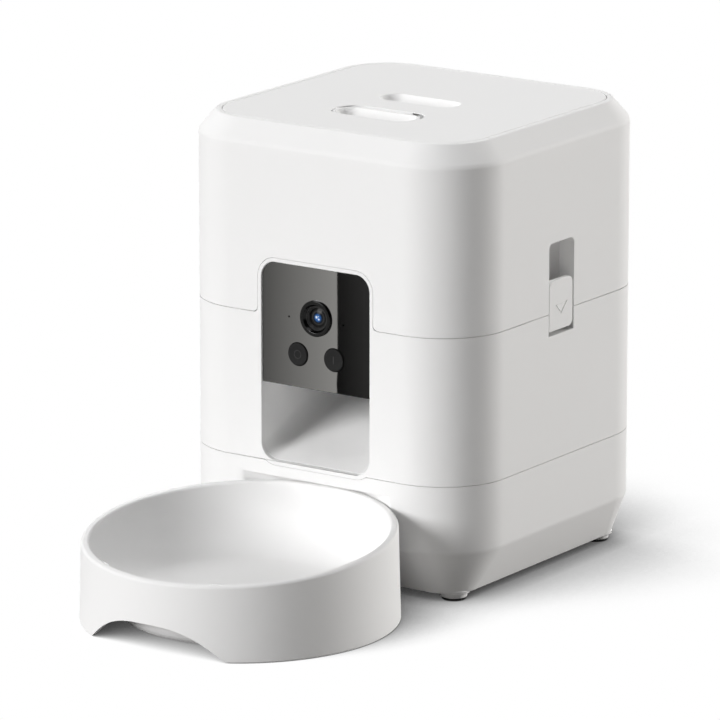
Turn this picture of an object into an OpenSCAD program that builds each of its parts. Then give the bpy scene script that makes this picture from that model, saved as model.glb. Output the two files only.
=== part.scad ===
// Automatic pet feeder with a camera: housing, lift-off food tank, rotor drive and slide-out bowl.
// Millimetres, +Z up, the front faces -Y. The origin is the bottom centre of the whole footprint.

/* [Housing] */
// Width of the housing, side to side
body_w = 200; // [194:1:216]
// Depth of the housing, front to back
body_d = 200; // [194:1:216]
// Height of the housing above the floor
body_h = 263.5; // [255:0.5:286]
// Radius of the upright corners
corner_r = 41; // [37:1:43]
// Thickness of the outer shells
wall = 2.6; // [2.3:0.1:3]
// Height of the sloping crown round the lid
crown_h = 11.5; // [10:0.5:13]
// How far the crown leans in
crown_in = 10; // [9:0.5:11]
// Height of the sloping heel at the bottom
heel_h = 25.6; // [22:0.1:27]
// How far the heel leans in
heel_in = 12.5; // [10:0.5:14]
// Height of the seam under the food tank
tank_z = 155; // [152:0.5:158]
// Height of the seam over the lower shell
lower_z = 69.5; // [68:0.5:71]
// Gap at the seams
seam = 0.4; // [0.3:0.1:0.6]

/* [Feet] */
// Height of the underside above the floor
foot_h = 4.8; // [4:0.1:5.5]
// Diameter of a rubber foot
foot_d = 13.4; // [12:0.2:16]
// Foot centre to the side of the housing
foot_in = 19.5; // [18:0.5:24]
// Foot centre to the front and back of the housing
foot_in_y = 26.5; // [25:0.5:30]

/* [Window] */
// Width of the front window
win_w = 74; // [71:0.5:76]
// Height of the front window
win_h = 115.5; // [112:0.5:117]
// Corner radius of the window
win_r = 9.5; // [8:0.5:11]
// Width of the raised frame round the window
bezel = 2.3; // [1.8:0.1:2.8]
// Height of the food outlet, under the camera panel
mouth_h = 44.8; // [43:0.1:46]
// How far the camera panel sits behind the frame
panel_drop = 1.2; // [0.8:0.1:1.6]
// Thickness of the camera panel
panel_t = 1.8; // [1.6:0.1:2]
// Slope of the chute floor, degrees
chute_a = 20; // [18:0.5:21]

/* [Camera] */
// Lens centre above the lower edge of the panel
lens_up = 41.5; // [39:0.1:43]
// Outer diameter of the lens ring
lens_d = 20.8; // [18:0.1:22]
// Diameter of the lens glass
glass_d = 11; // [9:0.1:12]
// Button centres above the lower edge of the panel
button_up = 19.2; // [17:0.1:20]
// Diameter of a button
button_d = 13.2; // [11:0.1:14]
// Half the distance between the buttons
button_dx = 12.3; // [11:0.1:14]
// How far a button goes in
button_travel = 0.8; // [0.5:0.1:1]
// Half the distance between the two pin holes
pinhole_dx = 18.6; // [16:0.1:21]

/* [Clasps] */
// Width of the recess in the side
slot_w = 26; // [24:0.5:28]
// Recess above the tank seam
slot_up = 40.5; // [37:0.5:42]
// Recess below the tank seam
slot_down = 13; // [12.5:0.1:14]
// Depth of the recess
slot_t = 10; // [9:0.5:11]
// Height of the clasp flap
clasp_h = 29.2; // [27:0.1:31]
// Diameter of the clasp pivot pin
pin_d = 3; // [2.5:0.1:3.2]

/* [Lid] */
// Width of the rim round the lid
rim_w = 3.2; // [2.8:0.1:4]
// Thickness of the lid
lid_t = 4; // [3.5:0.1:4.5]
// Length of the two finger recesses
grip_l = 52; // [48:0.5:56]
// Width of the two finger recesses
grip_w = 19; // [17:0.5:21]
// Depth of the finger recesses
grip_t = 12; // [10:0.5:13]
// Rear finger recess, behind the housing centre
grip_y = 5; // [4:0.5:7]
// Latch recess, in front of the housing centre
latch_y = 39.4; // [38:0.2:41]
// How far the latch slides back
latch_travel = 2.6; // [2:0.1:3]

/* [Bowl] */
// Diameter of the bowl at the rim
bowl_d = 176.8; // [170:0.2:180]
// Diameter of the bowl at the floor
bowl_foot_d = 179.4; // [176:0.2:184]
// Height of the rim at mid bowl
bowl_h = 49.5; // [47:0.5:51]
// Slope of the rim, degrees
bowl_a = 4.8; // [0:0.2:5]
// Bowl centre in front of the housing
bowl_out = 73; // [71:0.5:77]
// Width of the rim
bowl_rim = 4; // [3.4:0.1:4.6]
// Height of the dish floor
dish_z = 17; // [15:0.5:19]
// Radius between the dish floor and wall
dish_r = 26; // [23:0.5:27]
// Height of the finger arch in the skirt
arch_h = 17.5; // [15:0.5:20]
// Half the width of the finger arch
arch_w = 46; // [40:0.5:50]
// Room round the bowl in its pocket
bowl_room = 1; // [0.8:0.1:1.4]

/* [Drive] */
// Module of the gears
gear_m = 0.9; // [0.85:0.01:0.92]
// Teeth of the small gears
small_n = 14; // [14:1:14]
// Teeth of the large gears
large_n = 42; // [42:1:42]
// Outer diameter of the rotor
rotor_d = 109; // [104:0.5:109]
// Inside diameter of the rotor cup
cup_d = 112; // [111:0.5:113]
// Paddles on the rotor
paddles = 6; // [5:1:8]
// Diameter of the rotor spindle
spindle_d = 8; // [7:0.1:8.4]
// Diameter of the motor
motor_d = 28; // [24:0.5:29]
// Length of the motor
motor_l = 40; // [34:0.5:42]

/* [Fits] */
// Free gap between moving pieces
gap = 0.35; // [0.3:0.05:0.4]
// Running clearance of a shaft, on the radius
run = 0.05; // [0.03:0.01:0.06]

/* [Hidden] */
$fn = 96;
front_y = -body_d / 2;
crown_z = body_h - crown_h;
under_z = foot_h;
heel_z = under_z + heel_h;
tank_lo = tank_z + seam / 2;
mid_hi = tank_z - seam / 2;
mid_lo = lower_z + seam / 2;
low_hi = lower_z - seam / 2;
inner_w = body_w - 2 * wall;
inner_d = body_d - 2 * wall;
inner_r = corner_r - wall;
win_z = lower_z + 0.5;
win_top = win_z + win_h;
panel_z = win_z + mouth_h;
lens_z = panel_z + lens_up;
button_z = panel_z + button_up;
panel_back = front_y + panel_drop + panel_t;
tower_w = win_w + 12;
tower_top = win_top + bezel + 3;
frame_t = panel_drop + panel_t;
tower_back = front_y + 26;
seat_w = body_w - 2 * crown_in - 2 * rim_w;
seat_d = body_d - 2 * crown_in - 2 * rim_w;
seat_r = corner_r - crown_in - rim_w;
lid_w = seat_w - 2 * gap;
lid_d = seat_d - 2 * gap;
lid_r = seat_r - gap;
lid_lo = body_h - lid_t;
ledge_z = lid_lo - 2.7;
ledge_in = 6.8;
throat_w = seat_w - 2 * ledge_in;
throat_d = seat_d - 2 * ledge_in;
throat_r = seat_r - ledge_in;
hollow_z = crown_z - 1;
hollow_in = crown_in / 2;
side_x = body_w / 2;
slot_x = side_x - slot_t;
slot_top = tank_z + slot_up;
slot_lo = tank_z - slot_down;
clasp_w = slot_w - 1.6;
clasp_lo = slot_lo + 2.3;
clasp_hi = clasp_lo + clasp_h;
pivot_x = side_x - 4;
pivot_z = slot_lo + 5.5;
hook_x = slot_x + 3.6;
bowl_y = front_y - bowl_out;
bowl_lean = (bowl_foot_d - bowl_d) / 2 / bowl_h;
pocket_z = bowl_h + bowl_d / 2 * tan(bowl_a) + 4;
bowl_front = bowl_y - bowl_foot_d / 2 + bowl_lean * arch_h;
row_y = -(body_d / 2 + bowl_front) / 2;
cup_r = cup_d / 2;
deck_z = tank_z - 8;
deck_t = 2.4;
deck_top = deck_z + deck_t;
cup_floor = 118;
cup_under = cup_floor - 2.4;
pair = gear_m * (small_n + large_n) / 2;
idler_y = pair;
motor_y = 2 * pair;
ear_x = 29;
ear_y = pair / 2;
tail_y = motor_y + motor_d / 2 + 4;
small_r = gear_m * small_n / 2;
large_r = gear_m * large_n / 2;
case_r = large_r + 5;
chute_y0 = front_y + frame_t;
chute_y1 = -11;
chute_t = 2.2;
chute_lo = win_z + 0.2;
chute_under = chute_lo - chute_t / cos(chute_a) + (-case_r - chute_y0) * tan(chute_a);
case_gap = 0.96;
cover_hi = chute_under - case_gap;
case_hi = cover_hi - 2;
case_lo = case_hi - 16;
spindle_r = spindle_d / 2;
hop_w = body_w - 30;
hop_d = body_d - 30;
hop_r = corner_r - 9;
hop_t = 2.2;
collar_r = cup_r - 4;
cone_z = tank_z + 2;
tray_w = throat_w - 5;
tray_d = throat_d - 5;
tray_r = throat_r - 2.5;
tray_z = body_h - 19;
grip_z = body_h - grip_t;
latch_top = body_h - 0.4;
bolt_gap = 1;
latch_w = grip_w + 4;
latch_l = grip_l + 4;
board_y = front_y + 14;
foot_x = body_w / 2 - foot_in;
foot_y = body_d / 2 - foot_in_y;
speaker_r = 18;
speaker_x = corner_r + speaker_r + 1 - body_w / 2;
speaker_z = 49;
inlet_x = body_w / 2 - 55;
inlet_z = 40;
hatch_w = body_w - 60;
hatch_d = body_d - 80;
hatch_y = 15;

tank_shell();
tank_rim();
tank_pockets();
tank_hopper();
lid();
lid_tray();
lid_seal();
lid_latch();
latch_spring();
desiccant_cup();
desiccant_cap();
middle_shell();
window_frame();
base_pockets();
camera_box();
chute();
camera_panel();
lens_ring();
lens_glass();
camera_board();
camera_cover();
camera_screws();
button_left();
button_right();
clasp_right();
clasp_left();
clasp_pins();
rotor_deck();
deck_screws();
rotor();
drive_spindle();
output_wheel();
idler_gear();
idler_pin();
motor();
motor_pinion();
gearbox_case();
gearbox_cover();
gearbox_screws();
lower_shell();
bottom_cover();
cover_screws();
foot_pads();
main_board();
speaker();
power_inlet();
bowl();
bowl_base();

// Shared shapes

// From the housing's own centre line to the origin of the whole footprint
module placed() {
  translate([0, row_y, 0]) children();
}

module rounded(w, d, r) {
  square([w - 2 * r, d], center = true);
  square([w, d - 2 * r], center = true);
  for (x = [-1, 1], y = [-1, 1]) {
    translate([x * (w / 2 - r), y * (d / 2 - r)]) circle(r);
  }
}

module block(w, d, r, z0, z1) {
  translate([0, 0, z0]) linear_extrude(z1 - z0) rounded(w, d, r);
}

// A block whose sides lean in by i from z0 to z1
module slope(w, d, r, z0, z1, i) {
  translate([0, d / 2 - r, 0]) rotate([90, 0, 0]) linear_extrude(d - 2 * r)
    polygon([[-w / 2, z0], [w / 2, z0], [w / 2 - i, z1], [i - w / 2, z1]]);
  translate([r - w / 2, 0, 0]) rotate([90, 0, 90]) linear_extrude(w - 2 * r)
    polygon([[-d / 2, z0], [d / 2, z0], [d / 2 - i, z1], [i - d / 2, z1]]);
  for (x = [-1, 1], y = [-1, 1]) {
    translate([x * (w / 2 - r), y * (d / 2 - r), z0]) cylinder(h = z1 - z0, r1 = r, r2 = r - i);
  }
}

module box(x0, x1, y0, y1, z0, z1) {
  translate([x0, y0, z0]) cube([x1 - x0, y1 - y0, z1 - z0]);
}

module post(x, y, z0, z1, r) {
  translate([x, y, z0]) cylinder(h = z1 - z0, r = r);
}

// A round bar along Y
module rod(x, z, y0, y1, r) {
  translate([x, y1, z]) rotate([90, 0, 0]) cylinder(h = y1 - y0, r = r);
}

// A cone along Y, r0 at y0 and r1 at y1
module taper_rod(x, z, y0, y1, r0, r1) {
  translate([x, y0, z]) rotate([-90, 0, 0]) cylinder(h = y1 - y0, r1 = r0, r2 = r1);
}

module stadium(l, w) {
  square([l - w, w], center = true);
  for (x = [-1, 1]) {
    translate([x * (l - w) / 2, 0]) circle(w / 2);
  }
}

// An outline drawn in X and Z, standing from y0 to y1
module upright(y0, y1) {
  translate([0, y1, 0]) rotate([90, 0, 0]) linear_extrude(y1 - y0) children();
}

// A window shape with all corners rounded, from height z0 to z1
module pane(w, z0, z1, r) {
  translate([0, (z0 + z1) / 2]) rounded(w, z1 - z0, r);
}

module bezel_outline(g) {
  w = win_w + 2 * bezel + 2 * g;
  pane(w, win_z - bezel - 0.5 - g, win_top + bezel + g, win_r + bezel + g);
}

module both_sides() {
  children();
  mirror([1, 0, 0]) children();
}

// The recess beside a clasp, drawn in Y and Z on the right-hand side
module slot_cut(z0) {
  translate([slot_x, 0, 0]) rotate([90, 0, 90]) linear_extrude(slot_t + 2) union() {
    translate([-slot_w / 2, z0]) square([slot_w, slot_top - 4 - z0]);
    translate([4 - slot_w / 2, slot_top - 5]) square([slot_w - 8, 5]);
    for (y = [-1, 1]) {
      translate([y * (slot_w / 2 - 4), slot_top - 4]) circle(4);
    }
  }
}

// Involute gear outline with the middle of a tooth at angle a
function inv_x(rb, t) = rb * (cos(t) + t * PI / 180 * sin(t));
function inv_y(rb, t) = rb * (sin(t) - t * PI / 180 * cos(t));
function roll(rb, r) = r > rb ? sqrt(r * r / rb / rb - 1) * 180 / PI : 0;
function polar(r, a) = [r * cos(a), r * sin(a)];
function flank_a(rb, r) = atan2(inv_y(rb, roll(rb, r)), inv_x(rb, roll(rb, r)));
function half_tooth(n, slack) = 90 / n - slack / (gear_m * n) * 180 / PI;
function flank(n, r) =
  let (rb = gear_m * n / 2 * cos(20))
  half_tooth(n, 0.12) + flank_a(rb, gear_m * n / 2) - flank_a(rb, max(r, rb));

module gear(n, a, z0, z1) {
  root = gear_m * (n / 2 - 1.2);
  tip = gear_m * (n / 2 + 0.85);
  radii = [root, gear_m * (n / 2 - 0.55), gear_m * (n / 2 - 0.1), gear_m * (n / 2 + 0.4), tip];
  translate([0, 0, z0]) linear_extrude(z1 - z0) polygon([
    for (i = [0:n - 1])
      for (k = [0:9])
        let (s = k < 5 ? k : 9 - k)
        let (f = flank(n, radii[s]))
        polar(radii[s], a + i * 360 / n + (k < 5 ? -f : f))
  ]);
}

// Food tank

module tank_shell() color([0.94, 0.94, 0.93]) placed() difference() {
  block(body_w, body_d, corner_r, tank_lo, hollow_z);
  block(inner_w, inner_d, inner_r, tank_lo - 1, hollow_z + 1);
  both_sides() slot_cut(tank_z - 1);
  upright(front_y - 1, front_y + wall + 1) bezel_outline(gap);
}

// The crown with the seat of the lid, welded on the tank's wall
module tank_rim() color([0.94, 0.94, 0.93]) placed() difference() {
  union() {
    block(body_w, body_d, corner_r, hollow_z, crown_z);
    slope(body_w, body_d, corner_r, crown_z, body_h, crown_in);
  }
  slope(inner_w, inner_d, inner_r, hollow_z, ledge_z, hollow_in);
  block(throat_w, throat_d, throat_r, ledge_z - 1, body_h + 1);
  block(seat_w, seat_d, seat_r, lid_lo, body_h + 1);
}

// The finger recess over each clasp, with the ledge that its hook catches
module tank_pockets() color([0.94, 0.94, 0.93]) placed() both_sides() {
  difference() {
    box(slot_x - 2.5, side_x - wall, -slot_w / 2 - 2.5, slot_w / 2 + 2.5, tank_lo, slot_top + 2.5);
    slot_cut(tank_z - 1);
  }
  box(slot_x - 0.1, hook_x - gap, -9, 9, tank_z + 2.5, tank_z + 5.5);
}

module tank_hopper() color([0.93, 0.93, 0.92]) placed() difference() {
  union() {
    difference() {
      intersection() {
        block(hop_w, hop_d, hop_r, cone_z, ledge_z);
        post_cone(collar_r + 3);
      }
      box(-tower_w / 2 - 3, tower_w / 2 + 3, -body_d, tower_back + 4, cone_z - 1, tower_top + 3);
    }
    post(0, 0, deck_top - 3.4, cone_z + 0.5, collar_r + hop_t);
    difference() {
      block(hop_w + 12, hop_d + 12, hop_r + 6, ledge_z - 2.2, ledge_z);
      block(hop_w - 2, hop_d - 2, hop_r - 1, ledge_z - 3, ledge_z + 1);
    }
  }
  difference() {
    intersection() {
      block(hop_w - 2 * hop_t, hop_d - 2 * hop_t, hop_r - hop_t, cone_z - 0.01, ledge_z + 1);
      post_cone(collar_r);
    }
    box(-tower_w / 2 - 5.2, tower_w / 2 + 5.2, -body_d, tower_back + 6.2, cone_z - 1, tower_top + 5.2);
  }
  post(0, 0, deck_top - 5, cone_z + 0.1, collar_r);
}

module post_cone(r) {
  translate([0, 0, cone_z]) cylinder(h = ledge_z - cone_z + 2, r1 = r, r2 = r + ledge_z - cone_z + 2);
}

// Lid with its latch, seal and desiccant holder

module latch_slot() {
  for (y = [0, latch_travel + gap]) {
    translate([0, y - latch_y]) stadium(latch_l + 2 * gap, latch_w + 2 * gap);
  }
  translate([0, (latch_travel + gap) / 2 - latch_y])
    square([latch_l + 2 * gap, latch_travel + gap], center = true);
}

module lid() color([0.94, 0.94, 0.93]) placed() difference() {
  union() {
    block(lid_w, lid_d, lid_r, lid_lo, body_h);
    translate([0, grip_y, grip_z - 2]) linear_extrude(lid_lo - grip_z + 2.5) stadium(grip_l + 4, grip_w + 4);
  }
  translate([0, grip_y, grip_z]) linear_extrude(grip_t + 1) stadium(grip_l, grip_w);
  translate([0, 0, lid_lo - 1]) linear_extrude(lid_t + 2) latch_slot();
}

module lid_latch() color([0.93, 0.93, 0.92]) placed() difference() {
  union() {
    translate([0, -latch_y, grip_z - 2]) linear_extrude(latch_top - grip_z + 2) stadium(latch_l, latch_w);
    both_sides() {
      box(latch_l / 2 - 8, latch_l / 2 + 3, -latch_y - 5, -latch_y + 5, lid_lo - gap - 1.6, lid_lo - gap);
    }
    box(-9, 9, bolt_gap - throat_d / 2, -latch_y - latch_w / 2 + 3, ledge_z - 5.3, ledge_z - 1.3);
  }
  translate([0, -latch_y, grip_z]) linear_extrude(grip_t) stadium(grip_l, grip_w);
}

module lid_tray() color([0.9, 0.9, 0.89]) placed() difference() {
  block(tray_w, tray_d, tray_r, tray_z, lid_lo);
  block(tray_w - 4, tray_d - 4, tray_r - 2, tray_z + 2, lid_lo + 1);
  box(-9.6, 9.6, -tray_d / 2 - 1, 5 - tray_d / 2, ledge_z - 5.9, ledge_z - 0.7);
}

module lid_seal() color([0.78, 0.79, 0.8]) placed() difference() {
  block(throat_w - 2 * gap, throat_d - 2 * gap, throat_r - gap, ledge_z + 0.2, lid_lo);
  block(tray_w, tray_d, tray_r, ledge_z - 1, lid_lo + 1);
}

// Return spring of the latch: a wire wound round the Y axis
spring_r = 2.6;
spring_wire = 0.4;
spring_turns = 6;
spring_y0 = latch_w / 2 - latch_y + spring_wire + 0.05;
spring_y1 = grip_y - grip_w / 2 - 2 - spring_wire - 0.05;
spring_n = spring_turns * 8;
function coil(i) = let (a = i * 45)
  [spring_r * cos(a), spring_y0 + (spring_y1 - spring_y0) * i / spring_n, spring_r * sin(a)];
function coil_ring(i) = let (a = i * 45, c = coil(i))
  [for (k = [0:5]) c + spring_wire * (cos(k * 60) * [cos(a), 0, sin(a)] + sin(k * 60) * [0, 1, 0])];
spring_pitch = (spring_y1 - spring_y0) / spring_turns;

module latch_spring() color([0.7, 0.7, 0.72]) placed() translate([0, 0, grip_z + 3]) {
  echo(least_gap_between_turns = spring_pitch - 2 * spring_wire);
  polyhedron(
    points = [for (i = [0:spring_n]) each coil_ring(i)],
    faces = concat(
      [[5, 4, 3, 2, 1, 0]],
      [[for (k = [0:5]) spring_n * 6 + k]],
      [for (i = [0:spring_n - 1]) for (k = [0:5]) let (n = (k + 1) % 6)
        each [[i * 6 + k, i * 6 + n, i * 6 + 6 + k], [i * 6 + n, i * 6 + 6 + n, i * 6 + 6 + k]]]
    )
  );
}

module desiccant_cup() color([0.9, 0.9, 0.89]) placed() difference() {
  translate([0, 30, 0]) post(0, 0, tray_z - 13, tray_z, 31);
  translate([0, 30, 0]) post(0, 0, tray_z - 14, tray_z - 2, 29);
}

module desiccant_cap() color([0.88, 0.88, 0.88]) placed() translate([0, 30, 0]) difference() {
  union() {
    post(0, 0, tray_z - 15, tray_z - 13, 31);
    difference() {
      post(0, 0, tray_z - 13.5, tray_z - 9, 29 - run);
      post(0, 0, tray_z - 14, tray_z - 8, 27);
    }
  }
  for (i = [0:7]) {
    rotate(i * 45) box(9, 23, -2, 2, tray_z - 16, tray_z - 12);
  }
}

// Middle shell with the window frame and the camera tower

module middle_shell() color([0.94, 0.94, 0.93]) placed() difference() {
  union() {
    difference() {
      block(body_w, body_d, corner_r, mid_lo, mid_hi);
      block(inner_w, inner_d, inner_r, mid_lo - 1, mid_hi + 1);
    }
    difference() {
      block(inner_w + 0.4, inner_d + 0.4, inner_r + 0.2, deck_z - 2.6, deck_z);
      block(inner_w - 16, inner_d - 16, inner_r - 8, deck_z - 3, deck_z + 1);
    }
    difference() {
      block(inner_w - 2 * gap, inner_d - 2 * gap, inner_r - gap, mid_hi - 0.5, tank_z + 3.5);
      block(inner_w - 4, inner_d - 4, inner_r - 2, mid_hi - 1, tank_z + 4);
      box(-tower_w / 2 - 1, tower_w / 2 + 1, -body_d, 0, mid_hi - 1, tank_z + 5);
      box(-body_w, body_w, -slot_w / 2 - 4, slot_w / 2 + 4, mid_hi - 1, tank_z + 5);
    }
    difference() {
      block(inner_w + 0.4, inner_d + 0.4, inner_r + 0.2, mid_hi - 3, mid_hi);
      block(inner_w - 4, inner_d - 4, inner_r - 2, mid_hi - 4, mid_hi + 1);
    }
    deck_posts(deck_z - 9, deck_z, 4);
  }
  upright(front_y - 1, front_y + frame_t) bezel_outline(0);
  box(-tower_w / 2 - run, tower_w / 2 + run, front_y + frame_t, tower_back + 1, panel_z, tower_top + 1);
  both_sides() {
    pocket_block();
    box(slot_x, side_x + 1, -slot_w / 2, slot_w / 2, slot_lo, mid_hi + 1);
    rod(pivot_x, pivot_z, -slot_w / 2 - 3, slot_w / 2 + 3, pin_d / 2);
  }
  deck_posts(deck_z - 8, deck_z + 1, screw_r + run);
}

// The frame round the window, which reaches up into the tank's front
module window_frame() color([0.94, 0.94, 0.93]) placed() difference() {
  upright(front_y, front_y + frame_t) bezel_outline(0);
  upright(front_y - 1, front_y + frame_t + 1) pane(win_w, win_z, win_top, win_r);
}

module pocket_block() {
  box(slot_x - 2.5, side_x - wall, -slot_w / 2 - 3.5, slot_w / 2 + 3.5, slot_lo - 2.5, mid_hi);
}

// The lower half of each clasp recess, which carries the clasp's pin
module base_pockets() color([0.94, 0.94, 0.93]) placed() both_sides() difference() {
  pocket_block();
  box(slot_x, side_x + 1, -slot_w / 2, slot_w / 2, slot_lo, mid_hi + 1);
  rod(pivot_x, pivot_z, -slot_w / 2 - 3, slot_w / 2 + 3, pin_d / 2);
}

// The box behind the camera panel
module camera_box() color([0.92, 0.92, 0.91]) placed() difference() {
  box(-tower_w / 2, tower_w / 2, front_y + frame_t, tower_back, panel_z + 0.2, tower_top);
  box(3.5 - win_w / 2, win_w / 2 - 3.5, front_y, front_y + 6, panel_z + 4.5, win_top - 3.5);
  box(2.2 - tower_w / 2, tower_w / 2 - 2.2, front_y + 5, tower_back + 1, panel_z + 2.4, tower_top - 2.2);
}

module chute_outline(t) {
  r = win_r + t;
  w = win_w + 2 * t;
  translate([-w / 2, r - t]) square([w, 90]);
  translate([r - w / 2, -t]) square([w - 2 * r, 90]);
  for (x = [-1, 1]) {
    translate([x * (w / 2 - r), r - t]) circle(r);
  }
}

module chute_slope(t) {
  translate([0, chute_y0, chute_lo]) rotate([chute_a, 0, 0]) upright(-40, body_d) chute_outline(t);
}

module chute() color([0.93, 0.93, 0.92]) placed() intersection() {
  difference() {
    chute_slope(chute_t);
    difference() {
      chute_slope(0);
      box(-body_w, body_w, chute_y1 - chute_t, chute_y1, 0, panel_z);
    }
  }
  box(-body_w, body_w, chute_y0, chute_y1, 0, panel_z - 0.4);
}

// Camera, buttons and their board

module camera_panel() color([0.06, 0.06, 0.07]) placed() difference() {
  upright(front_y + panel_drop, panel_back) intersection() {
    pane(win_w - 0.3, panel_z - 30, win_top - 0.15, win_r - 0.15);
    translate([-win_w, panel_z]) square([2 * win_w, win_h]);
  }
  rod(0, lens_z, front_y, front_y + 6, lens_d / 2 - 1.6);
  for (x = [-1, 1]) {
    rod(x * button_dx, button_z, front_y, front_y + 6, button_d / 2 + gap);
    rod(x * pinhole_dx, lens_z - 1.3, front_y, front_y + 6, 0.6);
  }
}

module lens_ring() color([0.05, 0.05, 0.06]) placed() difference() {
  union() {
    rod(0, lens_z, front_y - 0.2, front_y + panel_drop, lens_d / 2);
    rod(0, lens_z, front_y + panel_drop - 0.1, board_y - 2, lens_d / 2 - 1.6);
  }
  taper_rod(0, lens_z, front_y - 0.4, front_y + 3, lens_d / 2 - 1.2, glass_d / 2 + 1.6);
  rod(0, lens_z, front_y + 2, front_y + 6, glass_d / 2);
  rod(0, lens_z, front_y + 5, board_y, glass_d / 2 - 1);
}

module lens_glass() color([0.1, 0.16, 0.3]) placed() difference() {
  intersection() {
    rod(0, lens_z, front_y + 1, front_y + 6, glass_d / 2);
    translate([0, front_y + 2 + glass_d * 0.8, lens_z]) sphere(glass_d * 0.8);
  }
}

module camera_board() color([0.1, 0.32, 0.2]) placed() difference() {
  union() {
    box(-31, 31, board_y, board_y + 1.6, panel_z + 6, win_top - 5);
    box(-11, 11, board_y - 2, board_y, lens_z - 11, lens_z + 11);
    for (x = [-1, 1]) {
      box(x * button_dx - 3, x * button_dx + 3, board_y - 4, board_y, button_z - 3, button_z + 3);
      rod(x * button_dx, button_z, board_y - 4.4, board_y - 3, 1.6);
    }
    box(-9, 9, board_y + 1.6, board_y + 4.6, panel_z + 7, panel_z + 12);
  }
  for (x = [-26, 26], z = [panel_z + 11, win_top - 10]) {
    rod(x, z, board_y - 1, board_y + 3, 1.2);
  }
}

module camera_cover() color([0.85, 0.85, 0.85]) placed() {
  difference() {
    box(2.4 - tower_w / 2, tower_w / 2 - 2.4, tower_back - 2, tower_back, panel_z + 2.6, tower_top - 2.4);
    box(-10, 10, tower_back - 3, tower_back + 1, panel_z + 2, panel_z + 6);
  }
  for (x = [-26, 26], z = [panel_z + 11, win_top - 10]) {
    difference() {
      rod(x, z, board_y + 1.6, tower_back - 1.9, 3);
      rod(x, z, board_y + 1, tower_back - 3, 1.2);
    }
  }
}

module camera_screws() color([0.6, 0.6, 0.62]) placed() {
  for (x = [-26, 26], z = [panel_z + 11, win_top - 10]) {
    rod(x, z, board_y - 1.8, board_y, 2.4);
    rod(x, z, board_y - 0.1, board_y + 6, 1.2);
  }
}

module button(x) {
  rod(x, button_z, front_y + panel_drop - 0.9, panel_back + gap + 0.5, button_d / 2);
  rod(x, button_z, panel_back + gap, panel_back + gap + 1.2, button_d / 2 + 1);
  rod(x, button_z, panel_back + gap + 1, board_y - 4.4 - button_travel - gap, 2);
}

module button_left() color([0.09, 0.09, 0.1]) placed() button(-button_dx);

module button_right() color([0.09, 0.09, 0.1]) placed() button(button_dx);

// Side clasps

module clasp() {
  difference() {
    union() {
      translate([side_x - 3, 0, 0]) rotate([90, 0, 90]) linear_extrude(2.8) union() {
        translate([-clasp_w / 2, clasp_lo]) square([clasp_w, clasp_h - 3]);
        translate([3 - clasp_w / 2, clasp_lo]) square([clasp_w - 6, clasp_h]);
        for (y = [-1, 1]) {
          translate([y * (clasp_w / 2 - 3), clasp_hi - 3]) circle(3);
        }
      }
      rod(pivot_x, pivot_z, -clasp_w / 2, clasp_w / 2, 3.1);
      box(hook_x, side_x - 2.5, -8, 8, tank_z + 6, tank_z + 9);
    }
    rod(pivot_x, pivot_z, -clasp_w, clasp_w, pin_d / 2 + run);
    translate([side_x - 0.6, 0, 0]) rotate([90, 0, 90]) linear_extrude(1)
      polygon([[-3, clasp_lo + 14], [3, clasp_lo + 14], [0, clasp_lo + 9.5]]);
  }
}

module clasp_right() color([0.94, 0.94, 0.93]) placed() clasp();

module clasp_left() color([0.94, 0.94, 0.93]) placed() mirror([1, 0, 0]) clasp();

module clasp_pins() color([0.7, 0.7, 0.72]) placed() both_sides() {
  rod(pivot_x, pivot_z, -slot_w / 2 - 3, slot_w / 2 + 3, pin_d / 2);
}

// Rotor, its cup and the gear train

module rotor_deck() color([0.9, 0.9, 0.89]) placed() difference() {
  union() {
    post(0, 0, cup_under, deck_top, cup_r + 2.4);
    difference() {
      block(inner_w - 3, inner_d - 3, inner_r - 1.5, deck_z, deck_top);
      box(-tower_w / 2 - 1, tower_w / 2 + 1, -body_d, tower_back + 1.5, deck_z - 1, deck_top + 1);
      box(slot_x - 3.5, body_w, -slot_w / 2 - 5, slot_w / 2 + 5, deck_z - 1, deck_top + 1);
      box(-body_w, 3.5 - slot_x, -slot_w / 2 - 5, slot_w / 2 + 5, deck_z - 1, deck_top + 1);
    }
    post(0, 0, cup_under - 4, cup_floor, 7);
    post(ear_x, ear_y, cover_hi, cup_floor, 4.5);
    post(-ear_x, ear_y, cover_hi, cup_floor, 4.5);
    post(0, tail_y, cover_hi, deck_top, 4.5);
  }
  post(0, 0, cup_floor, deck_top + 1, cup_r);
  post(0, 0, cup_under - 5, cup_floor + 1, spindle_r + run);
  for (x = [-ear_x, ear_x]) {
    post(x, ear_y, cover_hi - 1, cover_hi + 10, 1.5);
  }
  post(0, tail_y, cover_hi - 1, cover_hi + 10, 1.5);
  intersection() {
    difference() {
      post(0, 0, cup_under - 1, cup_floor + 1, cup_r - 2.5);
      post(0, 0, cup_under - 2, cup_floor + 2, 15);
    }
    translate([0, 0, cup_under - 1]) linear_extrude(6) polygon([[0, 0], [-50, -60], [50, -60]]);
  }
  deck_posts(deck_z - 3, deck_top + 1, screw_r + 0.2);
}

// Round posts, holes or screws at the four corners of the deck
screw_r = 1.5;

module deck_posts(z0, z1, r) {
  for (x = [-1, 1], y = [-1, 1]) {
    post(x * (body_w / 2 - 20), y * (body_d / 2 - 20), z0, z1, r);
  }
}

module deck_screws() color([0.6, 0.6, 0.62]) placed() {
  deck_posts(deck_top, deck_top + 2, 3.2);
  deck_posts(deck_z - 7, deck_top + 0.5, screw_r);
}

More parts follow.
